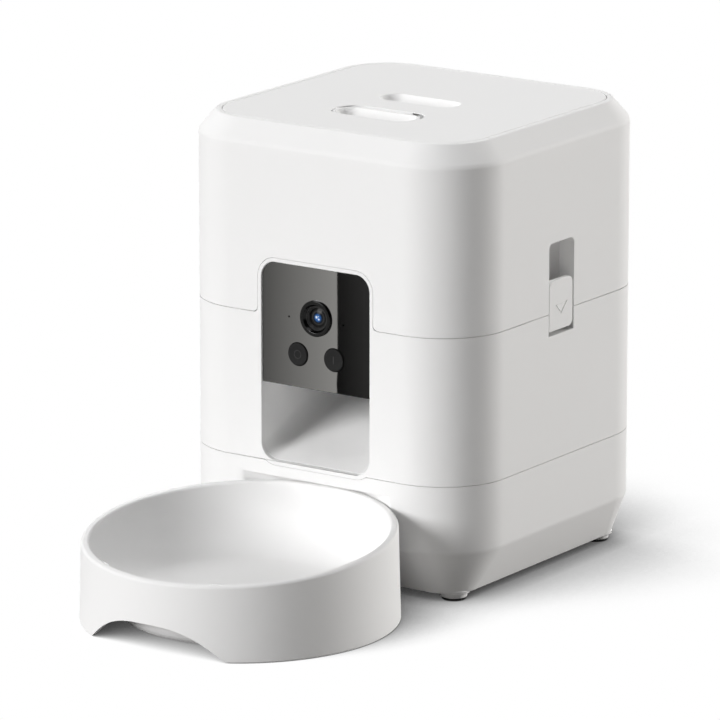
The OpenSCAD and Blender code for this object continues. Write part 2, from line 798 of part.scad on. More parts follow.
module rotor() color([0.72, 0.73, 0.74]) placed() difference() {
  union() {
    post(0, 0, cup_floor + 0.6, deck_top - 5, 13);
    translate([0, 0, deck_top - 5]) cylinder(h = 9, r1 = 13, r2 = 4);
    for (i = [0:paddles - 1]) {
      rotate(i * 360 / paddles) box(8, rotor_d / 2, -1.3, 1.3, cup_floor + 1, deck_top - 5);
    }
  }
  box(-3.1, 3.1, -3.1, 3.1, cup_floor, cup_floor + 20);
}

module drive_spindle() color([0.7, 0.7, 0.72]) placed() {
  post(0, 0, case_lo, case_lo + 2.3, 3);
  post(0, 0, case_lo + 2.2, cup_floor + 0.3, spindle_r);
  box(-3, 3, -3, 3, cup_floor, cup_floor + 19.5);
}

module output_wheel() color([0.9, 0.9, 0.86]) placed() difference() {
  union() {
    gear(large_n, 90 + 180 / large_n, case_lo + 9, case_lo + 14);
    post(0, 0, case_lo + 8, case_lo + 15.5, 8);
  }
  post(0, 0, case_lo, case_hi, spindle_r);
}

module idler_gear() color([0.9, 0.9, 0.86]) placed() translate([0, idler_y, 0]) difference() {
  union() {
    gear(large_n, 90 + 180 / large_n, case_lo + 2.6, case_lo + 7);
    gear(small_n, -90, case_lo + 6.9, case_lo + 15.5);
  }
  post(0, 0, case_lo, case_hi, 2 + run);
}

module idler_pin() color([0.7, 0.7, 0.72]) placed() {
  post(0, idler_y, case_lo + 0.5, cover_hi - 0.5, 2);
}

module motor_pinion() color([0.7, 0.7, 0.72]) placed() translate([0, motor_y, 0]) {
  gear(small_n, -90, case_lo + 2.5, case_lo + 8);
  post(0, 0, case_lo - 8, case_lo + 2.6, 1.5);
}

module motor() color([0.66, 0.67, 0.68]) placed() translate([0, motor_y, 0]) difference() {
  union() {
    post(0, 0, case_lo - motor_l, case_lo, motor_d / 2);
    post(0, 0, case_lo - 0.5, case_lo + 1.8, 4);
    post(0, 0, case_lo - motor_l - 2, case_lo - motor_l + 0.5, 4);
    box(-9, -7, -1.5, 1.5, case_lo - motor_l - 4, case_lo - motor_l + 0.5);
    box(7, 9, -1.5, 1.5, case_lo - motor_l - 4, case_lo - motor_l + 0.5);
  }
  post(0, 0, case_lo - 9, case_lo + 3, 1.5 + run);
}

module case_plan(t) {
  circle(case_r - t);
  translate([0, idler_y]) circle(case_r - t);
  translate([0, motor_y]) circle(small_r + 7 - t);
}

module case_ears() {
  for (x = [-1, 1]) {
    translate([x * ear_x, ear_y]) circle(5);
    translate([x * (ear_x - 4), ear_y]) square([8, 8], center = true);
  }
  translate([0, tail_y]) circle(5);
  translate([0, tail_y - 4]) square([8, 8], center = true);
}

module ear_holes(r) {
  for (x = [-1, 1]) {
    post(x * ear_x, ear_y, case_lo - 1, cover_hi + 1, r);
  }
  post(0, tail_y, case_lo - 1, cover_hi + 1, r);
}

module gearbox_case() color([0.82, 0.82, 0.8]) placed() difference() {
  translate([0, 0, case_lo]) linear_extrude(case_hi - case_lo) union() {
    case_plan(0);
    case_ears();
  }
  translate([0, 0, case_lo + 2]) linear_extrude(case_hi) case_plan(2.2);
  post(0, 0, case_lo - 1, case_lo + 3, 3 + run);
  post(0, idler_y, case_lo - 1, case_lo + 3, 2);
  post(0, motor_y, case_lo - 1, case_lo + 3, 4);
  ear_holes(1.6);
}

module gearbox_cover() color([0.82, 0.82, 0.8]) placed() difference() {
  translate([0, 0, case_hi]) linear_extrude(cover_hi - case_hi) union() {
    case_plan(0);
    case_ears();
  }
  post(0, 0, case_hi - 1, cover_hi + 1, spindle_r + run);
  post(0, idler_y, case_hi - 1, cover_hi + 1, 2);
  ear_holes(1.6);
}

module gearbox_screws() color([0.6, 0.6, 0.62]) placed() {
  for (p = [[-ear_x, ear_y], [ear_x, ear_y], [0, tail_y]]) {
    post(p[0], p[1], case_lo - 2, case_lo, 3.2);
    post(p[0], p[1], case_lo - 0.5, cover_hi + 9, 1.5);
  }
}

// Lower shell, underside and electronics

module bowl_pocket(g, top) {
  translate([0, bowl_y, -1])
    cylinder(h = top + 1, r1 = bowl_foot_d / 2 + bowl_lean + g, r2 = bowl_foot_d / 2 - bowl_lean * top + g);
}

module lower_outer() {
  block(body_w, body_d, corner_r, heel_z, low_hi);
  slope(body_w - 2 * heel_in, body_d - 2 * heel_in, corner_r - heel_in, under_z, heel_z, -heel_in);
}

lower_in = heel_in * (heel_h - wall) / heel_h;

module lower_shell() color([0.94, 0.94, 0.93]) placed() difference() {
  union() {
    difference() {
      lower_outer();
      block(inner_w, inner_d, inner_r, heel_z, low_hi + 1);
      slope(inner_w - 2 * lower_in, inner_d - 2 * lower_in, inner_r - lower_in, under_z + wall, heel_z, -lower_in);
    }
    intersection() {
      lower_outer();
      bowl_pocket(bowl_room + 2.4, pocket_z + 2.4);
    }
    for (x = [-1, 1], y = [-1, 1]) {
      post(x * foot_x, y * foot_y, 1.6, under_z + 13, foot_d / 2 + 1);
      post(x * (hatch_w / 2 - 8), y * (hatch_d / 2 - 8) + hatch_y, under_z + 1, under_z + 11, 4.5);
    }
  }
  bowl_pocket(bowl_room, pocket_z);
  upright(front_y - 1, front_y + 4) bezel_outline(gap);
  for (x = [-1, 1], y = [-1, 1]) {
    post(x * foot_x, y * foot_y, 0, 3, foot_d / 2);
  }
  translate([0, hatch_y, 0]) block(hatch_w, hatch_d, 9, 0, under_z + 1.6);
  translate([0, hatch_y, 0]) difference() {
    block(hatch_w - 10, hatch_d - 10, 5, 0, under_z + wall + 1);
    for (x = [-1, 1], y = [-1, 1]) {
      box(x * (hatch_w / 2 - 8) - 6, x * (hatch_w / 2 - 8) + 6, y * (hatch_d / 2 - 8) - 6,
        y * (hatch_d / 2 - 8) + 6, under_z + 1.6, under_z + 12);
    }
  }
  hatch_holes(1.3, under_z + 10);
  rod(inlet_x, inlet_z, body_d / 2 - 6, body_d / 2 + 1, 5.5);
  for (i = [-2:2], k = [-2:2]) {
    if (i * i + k * k < 7) rod(speaker_x + i * 5.5, speaker_z + k * 5.5, body_d / 2 - 6, body_d / 2 + 1, 1.2);
  }
}

module hatch_holes(r, top) {
  for (x = [-1, 1], y = [-1, 1]) {
    post(x * (hatch_w / 2 - 8), y * (hatch_d / 2 - 8) + hatch_y, under_z - 1, top, r);
  }
}

module bottom_cover() color([0.9, 0.9, 0.89]) placed() difference() {
  union() {
    translate([0, hatch_y, 0]) block(hatch_w - 0.6, hatch_d - 0.6, 8.7, under_z, under_z + 1.6);
    for (x = [-34, 34], y = [22, 58]) {
      post(x, y, under_z + 1, under_z + 8, 3);
    }
  }
  hatch_holes(1.7, under_z + 3);
}

module cover_screws() color([0.6, 0.6, 0.62]) placed() {
  for (x = [-1, 1], y = [-1, 1]) {
    translate([x * (hatch_w / 2 - 8), y * (hatch_d / 2 - 8) + hatch_y, 0]) {
      post(0, 0, under_z - 1.6, under_z, 2.9);
      post(0, 0, under_z - 0.5, under_z + 9, 1.3);
    }
  }
}

module foot_pads() color([0.08, 0.08, 0.08]) placed() {
  for (x = [-1, 1], y = [-1, 1]) {
    post(x * foot_x, y * foot_y, 0, 3, foot_d / 2);
  }
}

module main_board() color([0.1, 0.32, 0.2]) placed() {
  box(-40, 40, 16, 64, under_z + 8, under_z + 9.6);
  box(-36, -18, 20, 44, under_z + 9.6, under_z + 12.8);
  box(12, 34, 46, 60, under_z + 9.6, under_z + 17);
  box(-30, -16, 52, 58, under_z + 9.6, under_z + 15);
  post(26, 26, under_z + 9.6, under_z + 22, 5);
  post(14, 26, under_z + 9.6, under_z + 20, 4);
  box(-8, 4, 26, 38, under_z + 9.6, under_z + 11.2);
}

module speaker() color([0.12, 0.12, 0.13]) placed() {
  rod(speaker_x, speaker_z, body_d / 2 - wall - 4, body_d / 2 - wall, speaker_r);
  taper_rod(speaker_x, speaker_z, body_d / 2 - wall - 12, body_d / 2 - wall - 4, 9, 16);
  rod(speaker_x, speaker_z, body_d / 2 - wall - 18, body_d / 2 - wall - 12, 11);
}

module power_inlet() color([0.07, 0.07, 0.08]) placed() difference() {
  union() {
    rod(inlet_x, inlet_z, body_d / 2 - wall, body_d / 2 - 0.3, 5.5);
    rod(inlet_x, inlet_z, body_d / 2 - wall - 2, body_d / 2 - wall, 8);
    box(inlet_x - 5.5, inlet_x + 5.5, body_d / 2 - 18, body_d / 2 - wall - 1, inlet_z - 6, inlet_z + 6);
  }
  difference() {
    rod(inlet_x, inlet_z, body_d / 2 - 13, body_d / 2 + 1, 3.1);
    rod(inlet_x, inlet_z, body_d / 2 - 14, body_d / 2 - 2, 1);
  }
}

// Bowl

dish_x = bowl_d / 2 - bowl_rim - 0.8 - dish_r;
dish_t = 3;

module dish_profile(t) {
  translate([0, dish_z - t]) square([dish_x, 90]);
  intersection() {
    translate([dish_x, dish_z + dish_r]) circle(dish_r + t);
    square([200, 200]);
  }
  translate([0, dish_z + dish_r]) square([dish_x + dish_r + t, 90]);
}

module bowl() color([0.94, 0.94, 0.93]) placed() translate([0, bowl_y, 0]) difference() {
  translate([0, 0, 0])
    cylinder(h = 70, r1 = bowl_foot_d / 2, r2 = bowl_foot_d / 2 - 70 * bowl_lean);
  rotate_extrude() dish_profile(0);
  rotate_extrude() difference() {
    polygon([[0, -1], [bowl_foot_d / 2 - 3.2 + bowl_lean, -1], [bowl_foot_d / 2 - 3.2 - 36 * bowl_lean, 36], [0, 36]]);
    dish_profile(dish_t);
  }
  translate([0, 0, bowl_h]) rotate([bowl_a, 0, 0]) translate([-150, -150, 0]) cube([300, 300, 80]);
  upright(-bowl_d, -bowl_d / 2 + 16) polygon([
    for (i = [-12:12]) [arch_w * i / 12, i * i == 144 ? -1 : arch_h * pow(1 - pow(abs(i) / 12, 2.8), 1.15)]
  ]);
}

// The pan under the dish, which shows through the arch
pan_r = 72;
pan_z = 2;
pan_round = 12;
pan_t = 2.4;

module pan_profile(t) {
  r = pan_round - t;
  translate([0, pan_z + t]) square([pan_r - pan_round, 40]);
  translate([0, pan_z + pan_round]) square([pan_r - t, 40]);
  translate([pan_r - pan_round, pan_z + pan_round]) intersection() {
    circle(r);
    translate([0, -pan_round]) square([pan_round, pan_round + 1]);
  }
}

module bowl_base() color([0.94, 0.94, 0.93]) placed() translate([0, bowl_y, 0]) rotate_extrude() difference() {
  pan_profile(0);
  pan_profile(pan_t);
  dish_profile(dish_t + run);
}
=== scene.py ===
import math

import bpy
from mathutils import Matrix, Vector


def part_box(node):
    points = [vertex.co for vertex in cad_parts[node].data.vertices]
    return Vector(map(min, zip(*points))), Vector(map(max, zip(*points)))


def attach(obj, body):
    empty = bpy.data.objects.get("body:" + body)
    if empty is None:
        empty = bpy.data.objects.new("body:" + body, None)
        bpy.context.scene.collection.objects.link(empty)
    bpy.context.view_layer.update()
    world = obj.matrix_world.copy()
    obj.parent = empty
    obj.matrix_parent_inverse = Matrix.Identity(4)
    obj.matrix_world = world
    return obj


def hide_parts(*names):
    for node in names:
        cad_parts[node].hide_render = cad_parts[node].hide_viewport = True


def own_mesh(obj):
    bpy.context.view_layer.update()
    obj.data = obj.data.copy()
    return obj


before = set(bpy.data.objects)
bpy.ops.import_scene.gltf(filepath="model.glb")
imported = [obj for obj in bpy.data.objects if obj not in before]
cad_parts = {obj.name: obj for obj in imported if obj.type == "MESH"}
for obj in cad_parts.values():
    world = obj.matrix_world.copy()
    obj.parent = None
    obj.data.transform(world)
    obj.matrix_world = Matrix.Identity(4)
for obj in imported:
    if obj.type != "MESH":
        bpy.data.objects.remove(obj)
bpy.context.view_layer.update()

# Sizes are in millimetres on the housing's own centre line, with the front facing -Y
MM = 0.001
rim_low, rim_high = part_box("tank_rim")
MID_Y = (rim_low.y + rim_high.y) / 2
ANY = (-math.inf, math.inf)
SIDES = (1, -1)
# How far a cutting tool stands past what it cuts
CLEAR = 9.0
# Points closer than this, in metres, are one point of a traced line
MERGE = 0.000005

# Housing: width and depth, radius of the upright corners, wall, and the heights of its parts
WIDE, CORNER, WALL = 200.0, 41.0, 2.6
HALF = WIDE / 2
TOP, CROWN = 263.5, 252.0
TANK_LOW, MIDDLE_TOP = 155.2, 154.8
MIDDLE_LOW, LOWER_TOP = 69.7, 69.3
HEEL, UNDER, HEEL_IN, HEEL_ROUND = 30.4, 4.8, 12.5, 19.0
FOOT_X, FOOT_Y = 77.3, 74.2

# Tank mouth and lid, by how far they lie in from the housing's sides
CROWN_IN, THROAT_IN, SEAT_IN, LID_IN = 10.0, 20.0, 13.2, 13.55
LID_THICK = 4.0

# Finger recesses, and the latch round the front one: its width, depth and corner radius
GRIP_DEEP, GRIP_Y = 5.0, 5.0
LATCH_PLAN, LATCH_Y = (56.0, 23.0, 11.45), -39.4
LATCH_TOP, LATCH_LOW, LATCH_SLIDE = TOP - 0.4, TOP - 14, 2.6

# Window in the front, with its frame, the gap round the frame and the camera panel
WINDOW, WINDOW_LOW, WINDOW_TOP, WINDOW_ROUND = 37.0, 70.0, 185.5, 9.5
FRAME_EDGE, FRAME_FOOT, FRAME_GAP = 2.3, 2.8, 0.22
FRONT, PLATE_BACK, PANEL_FACE = -HALF, -97.0, -98.8
THROUGH_FRONT = (-105.0, -90.0)
PANEL_LOW, PANEL_ROOM = 114.8, 0.15
LENS_Z, LENS_HOLE = 156.3, 8.8
BUTTON_X, BUTTON_Z = 12.3, 134.0
CHUTE_SLOPE, CHUTE_BACK = math.radians(20), -13.2

# Clasp recesses: half their length, their heights, and how deep they and their pockets reach
RECESS_HALF, RECESS_LOW, RECESS_TOP, RECESS_OPEN = 13.0, 142.0, 195.5, MIDDLE_TOP + 5.2
RECESS_X, POCKET_X = (90.0, 104.0), (87.5, 98.5)
CLASP_FACE, PIN_X, PIN_Z = 99.8, 96.0, 147.5

# Back of the housing: power inlet and sound holes, as x and z
THROUGH_BACK = (90.0, 104.0)
INLET_X, INLET_Z, INLET_ROUND = 45.0, 40.0, 5.5
SOUND_X, SOUND_Z, SOUND_PITCH = -40.0, 49.0, 5.5

# Bowl: centre, radius at its foot and rim, and the slope of the rim
BOWL_Y, BOWL_FOOT, BOWL_RIM = -173.0, 89.7, 88.4
RIM_Z, RIM_SLOPE = 49.5, math.radians(4.8)
ARCH_HALF, ARCH_HIGH, ARCH_DEPTH = 46.0, 17.5, 57.6


def at(x, y, z):
    return Vector((x * MM, MID_Y + y * MM, z * MM))


def in_mm(co):
    return Vector((co.x / MM, (co.y - MID_Y) / MM, co.z / MM))


def near(a, b, room=0.02):
    return abs(a - b) < room


def about(value, room=0.02):
    """A range about one value."""
    return (value - room, value + room)


def on_side(side, inner, outer):
    """A range of x to the right (1) or to the left (-1) of the centre line."""
    return tuple(sorted((side * inner, side * outer)))


# Handling a piece


def put_down():
    if bpy.context.object and bpy.context.object.mode != "OBJECT":
        bpy.ops.object.mode_set(mode="OBJECT")
    bpy.ops.object.select_all(action="DESELECT")


def take(piece):
    put_down()
    bpy.context.view_layer.objects.active = piece
    piece.select_set(True)


def rename(piece, name):
    piece.name = name
    piece.data.name = name
    return piece


def settle(name):
    bpy.ops.object.transform_apply(location=True, rotation=True, scale=True)
    return rename(bpy.context.active_object, name)


def pick(piece, kind, wanted):
    """Opens a piece in edit mode with the wanted faces or edges selected."""
    take(piece)
    bpy.ops.object.mode_set(mode="EDIT")
    bpy.ops.mesh.select_mode(type=kind)
    bpy.ops.mesh.select_all(action="DESELECT")
    bpy.ops.object.mode_set(mode="OBJECT")
    mesh = piece.data
    if kind == "FACE":
        for face in mesh.polygons:
            face.select = wanted(in_mm(face.center), face.normal)
    else:
        for edge in mesh.edges:
            a, b = (in_mm(mesh.vertices[i].co) for i in edge.vertices)
            edge.select = wanted(a, b)
    bpy.ops.object.mode_set(mode="EDIT")


def open_whole(piece):
    """Opens a piece in edit mode with all of it selected."""
    take(piece)
    bpy.ops.object.mode_set(mode="EDIT")
    bpy.ops.mesh.select_all(action="SELECT")


def close():
    bpy.ops.object.mode_set(mode="OBJECT")


def close_outwards():
    """Turns all faces outwards and leaves edit mode."""
    bpy.ops.mesh.select_all(action="SELECT")
    bpy.ops.mesh.normals_make_consistent(inside=False)
    close()


def edges_in(x=ANY, y=ANY, z=ANY):
    """Wants the edges that have both ends inside three ranges."""
    def wanted(a, b):
        return all(low < p[i] < high for p in (a, b) for i, (low, high) in enumerate((x, y, z)))
    return wanted


def stands(a, b):
    return near(a.x, b.x) and near(a.y, b.y)


def runs_back(a, b):
    return near(a.x, b.x) and near(a.z, b.z)


def lies_across(a, b):
    return near(a.y, b.y) and near(a.z, b.z)


def block(name, x, y, z):
    put_down()
    middle = at(sum(x) / 2, sum(y) / 2, sum(z) / 2)
    bpy.ops.mesh.primitive_cube_add(size=1, location=middle)
    bpy.context.active_object.scale = [(p[1] - p[0]) * MM for p in (x, y, z)]
    return settle(name)


LIE = {"Y": (math.pi / 2, 0, 0), "Z": (0, 0, 0)}


def drum(name, radius, along, centre, axis="Z", far=None, sides=64):
    """A round bar from along[0] to along[1] on one axis, through the two numbers in centre."""
    put_down()
    middle = sum(along) / 2
    where = {"Y": (centre[0], middle, centre[1]), "Z": (*centre, middle)}[axis]
    place = dict(
        vertices=sides, depth=(along[1] - along[0]) * MM, location=at(*where), rotation=LIE[axis])
    if far is None:
        bpy.ops.mesh.primitive_cylinder_add(radius=radius * MM, **place)
    else:
        bpy.ops.mesh.primitive_cone_add(radius1=radius * MM, radius2=far * MM, **place)
    return settle(name)


def round_edges(piece, wanted, radius, steps):
    pick(piece, "EDGE", wanted)
    bpy.ops.mesh.bevel(
        offset=radius * MM, offset_type="OFFSET", segments=steps, profile=0.5,
        affect="EDGES", clamp_overlap=False)
    close()


def rounded_block(name, w, d, r, z0, z1, y=0.0, steps=24):
    piece = block(name, (-w / 2, w / 2), (y - d / 2, y + d / 2), (z0, z1))
    round_edges(piece, stands, r, steps)
    return piece


def housing_block(name, inset, z0, z1):
    """A block with the housing's rounded outline, drawn in all round by an inset."""
    across = WIDE - 2 * inset
    return rounded_block(name, across, across, CORNER - inset, z0, z1)


def upright_pane(name, half, z0, z1, r, y):
    piece = block(name, (-half, half), y, (z0, z1))
    round_edges(piece, runs_back, r, 12)
    return piece


def lean(piece, z, inward, outward):
    """Draws the flat end at height z inwards while it is pulled outwards."""
    pick(piece, "FACE", lambda c, n: near(c.z, z) and abs(n.z) > 0.99)
    bpy.ops.mesh.inset(thickness=inward * MM, depth=outward * MM, use_even_offset=True)
    close()


def tip(piece, angle, centre):
    """Tips a piece forwards or back about a point."""
    open_whole(piece)
    bpy.ops.transform.rotate(value=angle, orient_axis="X", center_override=centre)
    close()


def soften_level(piece, z, size, steps, inside=math.inf):
    """Rounds the edges that lie at one height, out to a distance from the middle."""
    reach = (-inside, inside)
    round_edges(piece, edges_in(x=reach, y=reach, z=about(z)), size, steps)


def copy_of(piece, name):
    take(piece)
    bpy.ops.object.duplicate(linked=False)
    return rename(bpy.context.active_object, name)


def carve(piece, tool, how="DIFFERENCE"):
    take(piece)
    bpy.ops.object.modifier_add(type="BOOLEAN")
    cut = piece.modifiers[-1]
    cut.operation = how
    cut.solver = "EXACT"
    cut.object = tool
    bpy.ops.object.modifier_apply(modifier=cut.name)
    bpy.data.objects.remove(tool)


def join_all(pieces, name):
    put_down()
    for piece in pieces:
        piece.select_set(True)
    bpy.context.view_layer.objects.active = pieces[0]
    bpy.ops.object.join()
    return rename(bpy.context.active_object, name)


def trace(name, points):
    """Draws a line of points, each given in millimetres, by extruding one point along it."""
    put_down()
    bpy.ops.mesh.primitive_plane_add(size=0.001, location=at(*points[0]))
    piece = settle(name)
    bpy.ops.object.mode_set(mode="EDIT")
    bpy.ops.mesh.select_mode(type="VERT")
    bpy.ops.mesh.select_all(action="SELECT")
    bpy.ops.mesh.merge(type="CENTER")
    for before, after in zip(points, points[1:]):
        step = at(*after) - at(*before)
        bpy.ops.mesh.extrude_region_move(TRANSFORM_OT_translate={"value": step})
    close()
    return piece


def open_filled(piece):
    """Joins the ends of a traced line, fills it with one face and leaves it in edit mode."""
    open_whole(piece)
    bpy.ops.mesh.remove_doubles(threshold=MERGE)
    bpy.ops.mesh.select_all(action="SELECT")
    bpy.ops.mesh.edge_face_add()


def lathe(name, outline, centre, axis="Z", steps=96):
    """Turns an outline of (radius, place along the axis) pairs, closed on itself, into a round piece."""
    if axis == "Z":
        points = [(centre[0] + r, centre[1], h) for r, h in outline]
        turn = dict(center=at(centre[0], centre[1], 0), axis=(0, 0, 1))
    else:
        points = [(centre[0] + r, h, centre[1]) for r, h in outline]
        turn = dict(center=at(centre[0], 0, centre[1]), axis=(0, 1, 0))
    piece = trace(name, points)
    open_whole(piece)
    bpy.ops.mesh.spin(steps=steps, angle=2 * math.pi, **turn)
    bpy.ops.mesh.select_all(action="SELECT")
    bpy.ops.mesh.remove_doubles(threshold=MERGE)
    close_outwards()
    return piece


def arc(cx, cz, r, a0, a1, steps):
    """Points on an arc of an outline, angles in degrees."""
    turns = [math.radians(a0 + (a1 - a0) * i / steps) for i in range(steps + 1)]
    return [(cx + r * math.cos(t), cz + r * math.sin(t)) for t in turns]


def smooth(piece, angle=35, weigh=True):
    """Merges what the cuts left double and shades the piece smooth below an angle in degrees."""
    open_whole(piece)
    bpy.ops.mesh.remove_doubles(threshold=0.000002)
    close()
    bpy.ops.object.shade_smooth_by_angle(angle=math.radians(angle))
    if weigh:
        bpy.ops.object.modifier_add(type="WEIGHTED_NORMAL")
        weight = piece.modifiers[-1]
        weight.keep_sharp = True
        weight.weight = 80
        bpy.ops.object.modifier_apply(modifier=weight.name)


# Shader lines and finishes


class Value:
    """A number on its way through a finish."""

    def __init__(self, finish, socket):
        self.finish = finish
        self.socket = socket

    def joined(self, how, first, second):
        return self.finish.add("ShaderNodeMath", {"operation": how}, {0: first, 1: second})

    def __add__(self, other):
        return self.joined("ADD", self, other)

    def __radd__(self, other):
        return self.joined("ADD", other, self)

    def __sub__(self, other):
        return self.joined("SUBTRACT", self, other)

    def __rsub__(self, other):
        return self.joined("SUBTRACT", other, self)

    def __mul__(self, other):
        return self.joined("MULTIPLY", self, other)

    def __rmul__(self, other):
        return self.joined("MULTIPLY", other, self)

    def __truediv__(self, other):
        return self.joined("DIVIDE", self, other)

    def __rtruediv__(self, other):
        return self.joined("DIVIDE", other, self)

    def __pow__(self, other):
        return self.joined("POWER", self, other)

    def __rpow__(self, other):
        return self.joined("POWER", other, self)


class Finish:
    """A material of the feeder, built from nodes."""

    def __init__(self, name, **fixed):
        self.material = bpy.data.materials.new(name)
        self.material.use_nodes = True
        self.tree = self.material.node_tree
        self.shader = self.tree.nodes["Principled BSDF"]
        self.out = self.tree.nodes["Material Output"]
        for socket, value in fixed.items():
            self.shader.inputs[socket.replace("_", " ")].default_value = value

    def add(self, kind, settings=None, sockets=None, out=0):
        node = self.tree.nodes.new(kind)
        for setting, value in (settings or {}).items():
            if setting == "stops":
                ramp = node.color_ramp.elements
                while len(ramp) < len(value):
                    ramp.new(0.5)
                for stop, (place, colour) in zip(ramp, value):
                    stop.position = place
                    stop.color = colour
            else:
                setattr(node, setting, value)
        for socket, value in (sockets or {}).items():
            self.plug(node.inputs[socket], value)
        return Value(self, node.outputs[out])

    def plug(self, socket, value):
        if isinstance(value, Value):
            self.tree.links.new(value.socket, socket)
        else:
            socket.default_value = value

    def feed(self, socket, value):
        self.plug(self.shader.inputs[socket], value)

    def surface(self, shader):
        """Puts another shader in the place of the plain one."""
        self.plug(self.out.inputs["Surface"], shader)

    def place(self):
        return self.add("ShaderNodeTexCoord", out=3)

    def grain(self, scale, detail=3.0, stretch=None):
        where = self.place()
        if stretch:
            where = self.add("ShaderNodeMapping", sockets={"Vector": where, "Scale": stretch})
        return self.add("ShaderNodeTexNoise", sockets={"Vector": where, "Scale": scale, "Detail": detail})

    def blend(self, factor, first, second):
        return self.add("ShaderNodeMix", {"data_type": "RGBA"}, {0: factor, 6: first, 7: second}, out=2)

    def greater(self, first, second):
        return self.add("ShaderNodeMath", {"operation": "MAXIMUM"}, {0: first, 1: second})

    def relief(self, height, depth):
        self.feed("Normal", self.add("ShaderNodeBump", sockets={
            "Height": height, "Distance": depth, "Strength": 1.0}))


def grey(level, warm=0.0):
    return (level * (1 + warm), level, level * (1 - warm), 1.0)


def moulded_plastic(name, light, dark, rough, texture, warm=0.0, **fixed):
    """Moulded plastic: a faint flow of shade, uneven gloss and a fine spark-eroded texture."""
    finish = Finish(name, **fixed)
    flow = finish.grain(14.0, 4.0)
    fine = finish.grain(1500.0, 2.0)
    finish.feed("Base Color", finish.blend(flow, grey(light, warm), grey(dark, warm)))
    finish.feed("Roughness", rough - 0.05 + flow * 0.06 + fine * 0.05)
    finish.relief(fine, texture)
    return finish.material


def rubber_like(name, level, rough):
    """Rubber or silicone: matt, a little dusty, with a fine grain."""
    finish = Finish(name, Specular_IOR_Level=0.3)
    fine = finish.grain(900.0, 4.0)
    dust = finish.grain(60.0, 5.0)
    finish.feed("Base Color", finish.blend(dust, grey(level), grey(level * 1.5)))
    finish.feed("Roughness", rough + dust * 0.12)
    finish.relief(fine, 0.00006)
    return finish.material


def plated_steel(name, level, rough):
    """Plated steel with a drawn-out brushing."""
    finish = Finish(name, Metallic=1.0)
    brush = finish.grain(180.0, 3.0, (1.0, 1.0, 12.0))
    finish.feed("Base Color", finish.blend(brush, grey(level), grey(level * 0.86)))
    finish.feed("Roughness", rough + brush * 0.12)
    finish.relief(brush, 0.00001)
    return finish.material


def circuit_green(name):
    """A lacquered board with paler tracks."""
    finish = Finish(name, Coat_Roughness=0.2)
    tracks = finish.add(
        "ShaderNodeTexBrick", {"offset": 0.5},
        {"Vector": finish.place(), "Scale": 140.0, "Mortar Size": 0.012}, out=1)
    speck = finish.grain(300.0, 2.0)
    finish.feed("Base Color", finish.blend(tracks, (0.012, 0.11, 0.05, 1.0), (0.035, 0.2, 0.09, 1.0)))
    finish.feed("Roughness", 0.32 + speck * 0.12)
    finish.feed("Coat Weight", 0.3 + speck * 0.1)
    finish.relief(tracks, 0.00004)
    return finish.material


def gloss_black(name):
    """Polished black with faint smears and a very slight wave."""
    finish = Finish(name, IOR=1.95)
    smear = finish.grain(22.0, 5.0)
    finish.feed("Base Color", finish.blend(smear, grey(0.005), grey(0.007)))
    finish.feed("Roughness", 0.008 + smear * 0.012)
    finish.relief(finish.grain(40.0, 2.0), 0.000004)
    return finish.material


def from_lens(finish, x=0.0, z=0.0):
    """The distance from a point of the lens, given in millimetres off its centre."""
    def step(how, sockets, out=0):
        return finish.add("ShaderNodeVectorMath", {"operation": how}, sockets, out)
    moved = step("SUBTRACT", {0: finish.place(), 1: at(x, 0, LENS_Z + z)})
    flat = step("MULTIPLY", {0: moved, 1: (1.0, 0.0, 1.0)})
    return step("LENGTH", {0: flat}, out=1)


def ringed(finish, radius, stops):
    """A colour that changes from the lens centre out to a radius in metres."""
    return finish.add("ShaderNodeValToRGB", {"stops": stops}, {0: from_lens(finish) / radius})


def lens_barrel(name):
    """A black ring round a dark grey barrel."""
    finish = Finish(name, Specular_IOR_Level=0.2)
    stops = [(0.0, grey(0.02)), (0.66, grey(0.034)), (0.69, grey(0.002)), (1.0, grey(0.0025))]
    finish.feed("Base Color", ringed(finish, 0.0104, stops))
    finish.feed("Roughness", 0.2 + finish.grain(300.0) * 0.06)
    return finish.material


def lens_painted_glints(name):
    """Coated glass: a painted blue glow and pale painted glint highlights, in a dark grey barrel."""
    finish = Finish(name, Specular_IOR_Level=0.06)
    # The blue pupil is a painted glow that stands for the coating's sheen.
    painted_glow = [
        (0.0, (0.06, 0.22, 0.62, 1.0)), (0.3, (0.03, 0.12, 0.36, 1.0)),
        (0.46, (0.012, 0.024, 0.05, 1.0)), (0.58, (0.012, 0.012, 0.013, 1.0))]
    barrel = [(0.62, grey(0.045)), (0.76, grey(0.034)), (0.8, grey(0.012)), (1.0, grey(0.025))]
    tint = ringed(finish, 0.0056, painted_glow + barrel)
    # Three small pale spots blended into the colour are painted highlights.
    for x, z, size in ((-0.85, 0.35, 0.95), (0.75, -0.75, 0.75), (0.5, 0.85, 0.4)):
        painted_glint = finish.add("ShaderNodeMapRange", sockets={
            "Value": from_lens(finish, x, z), "From Min": size * MM, "From Max": size * 0.4 * MM})
        tint = finish.blend(painted_glint, tint, (0.82, 0.9, 0.97, 1.0))
    finish.feed("Base Color", tint)
    finish.feed("Roughness", 0.12 + finish.grain(60.0) * 0.04)
    return finish.material


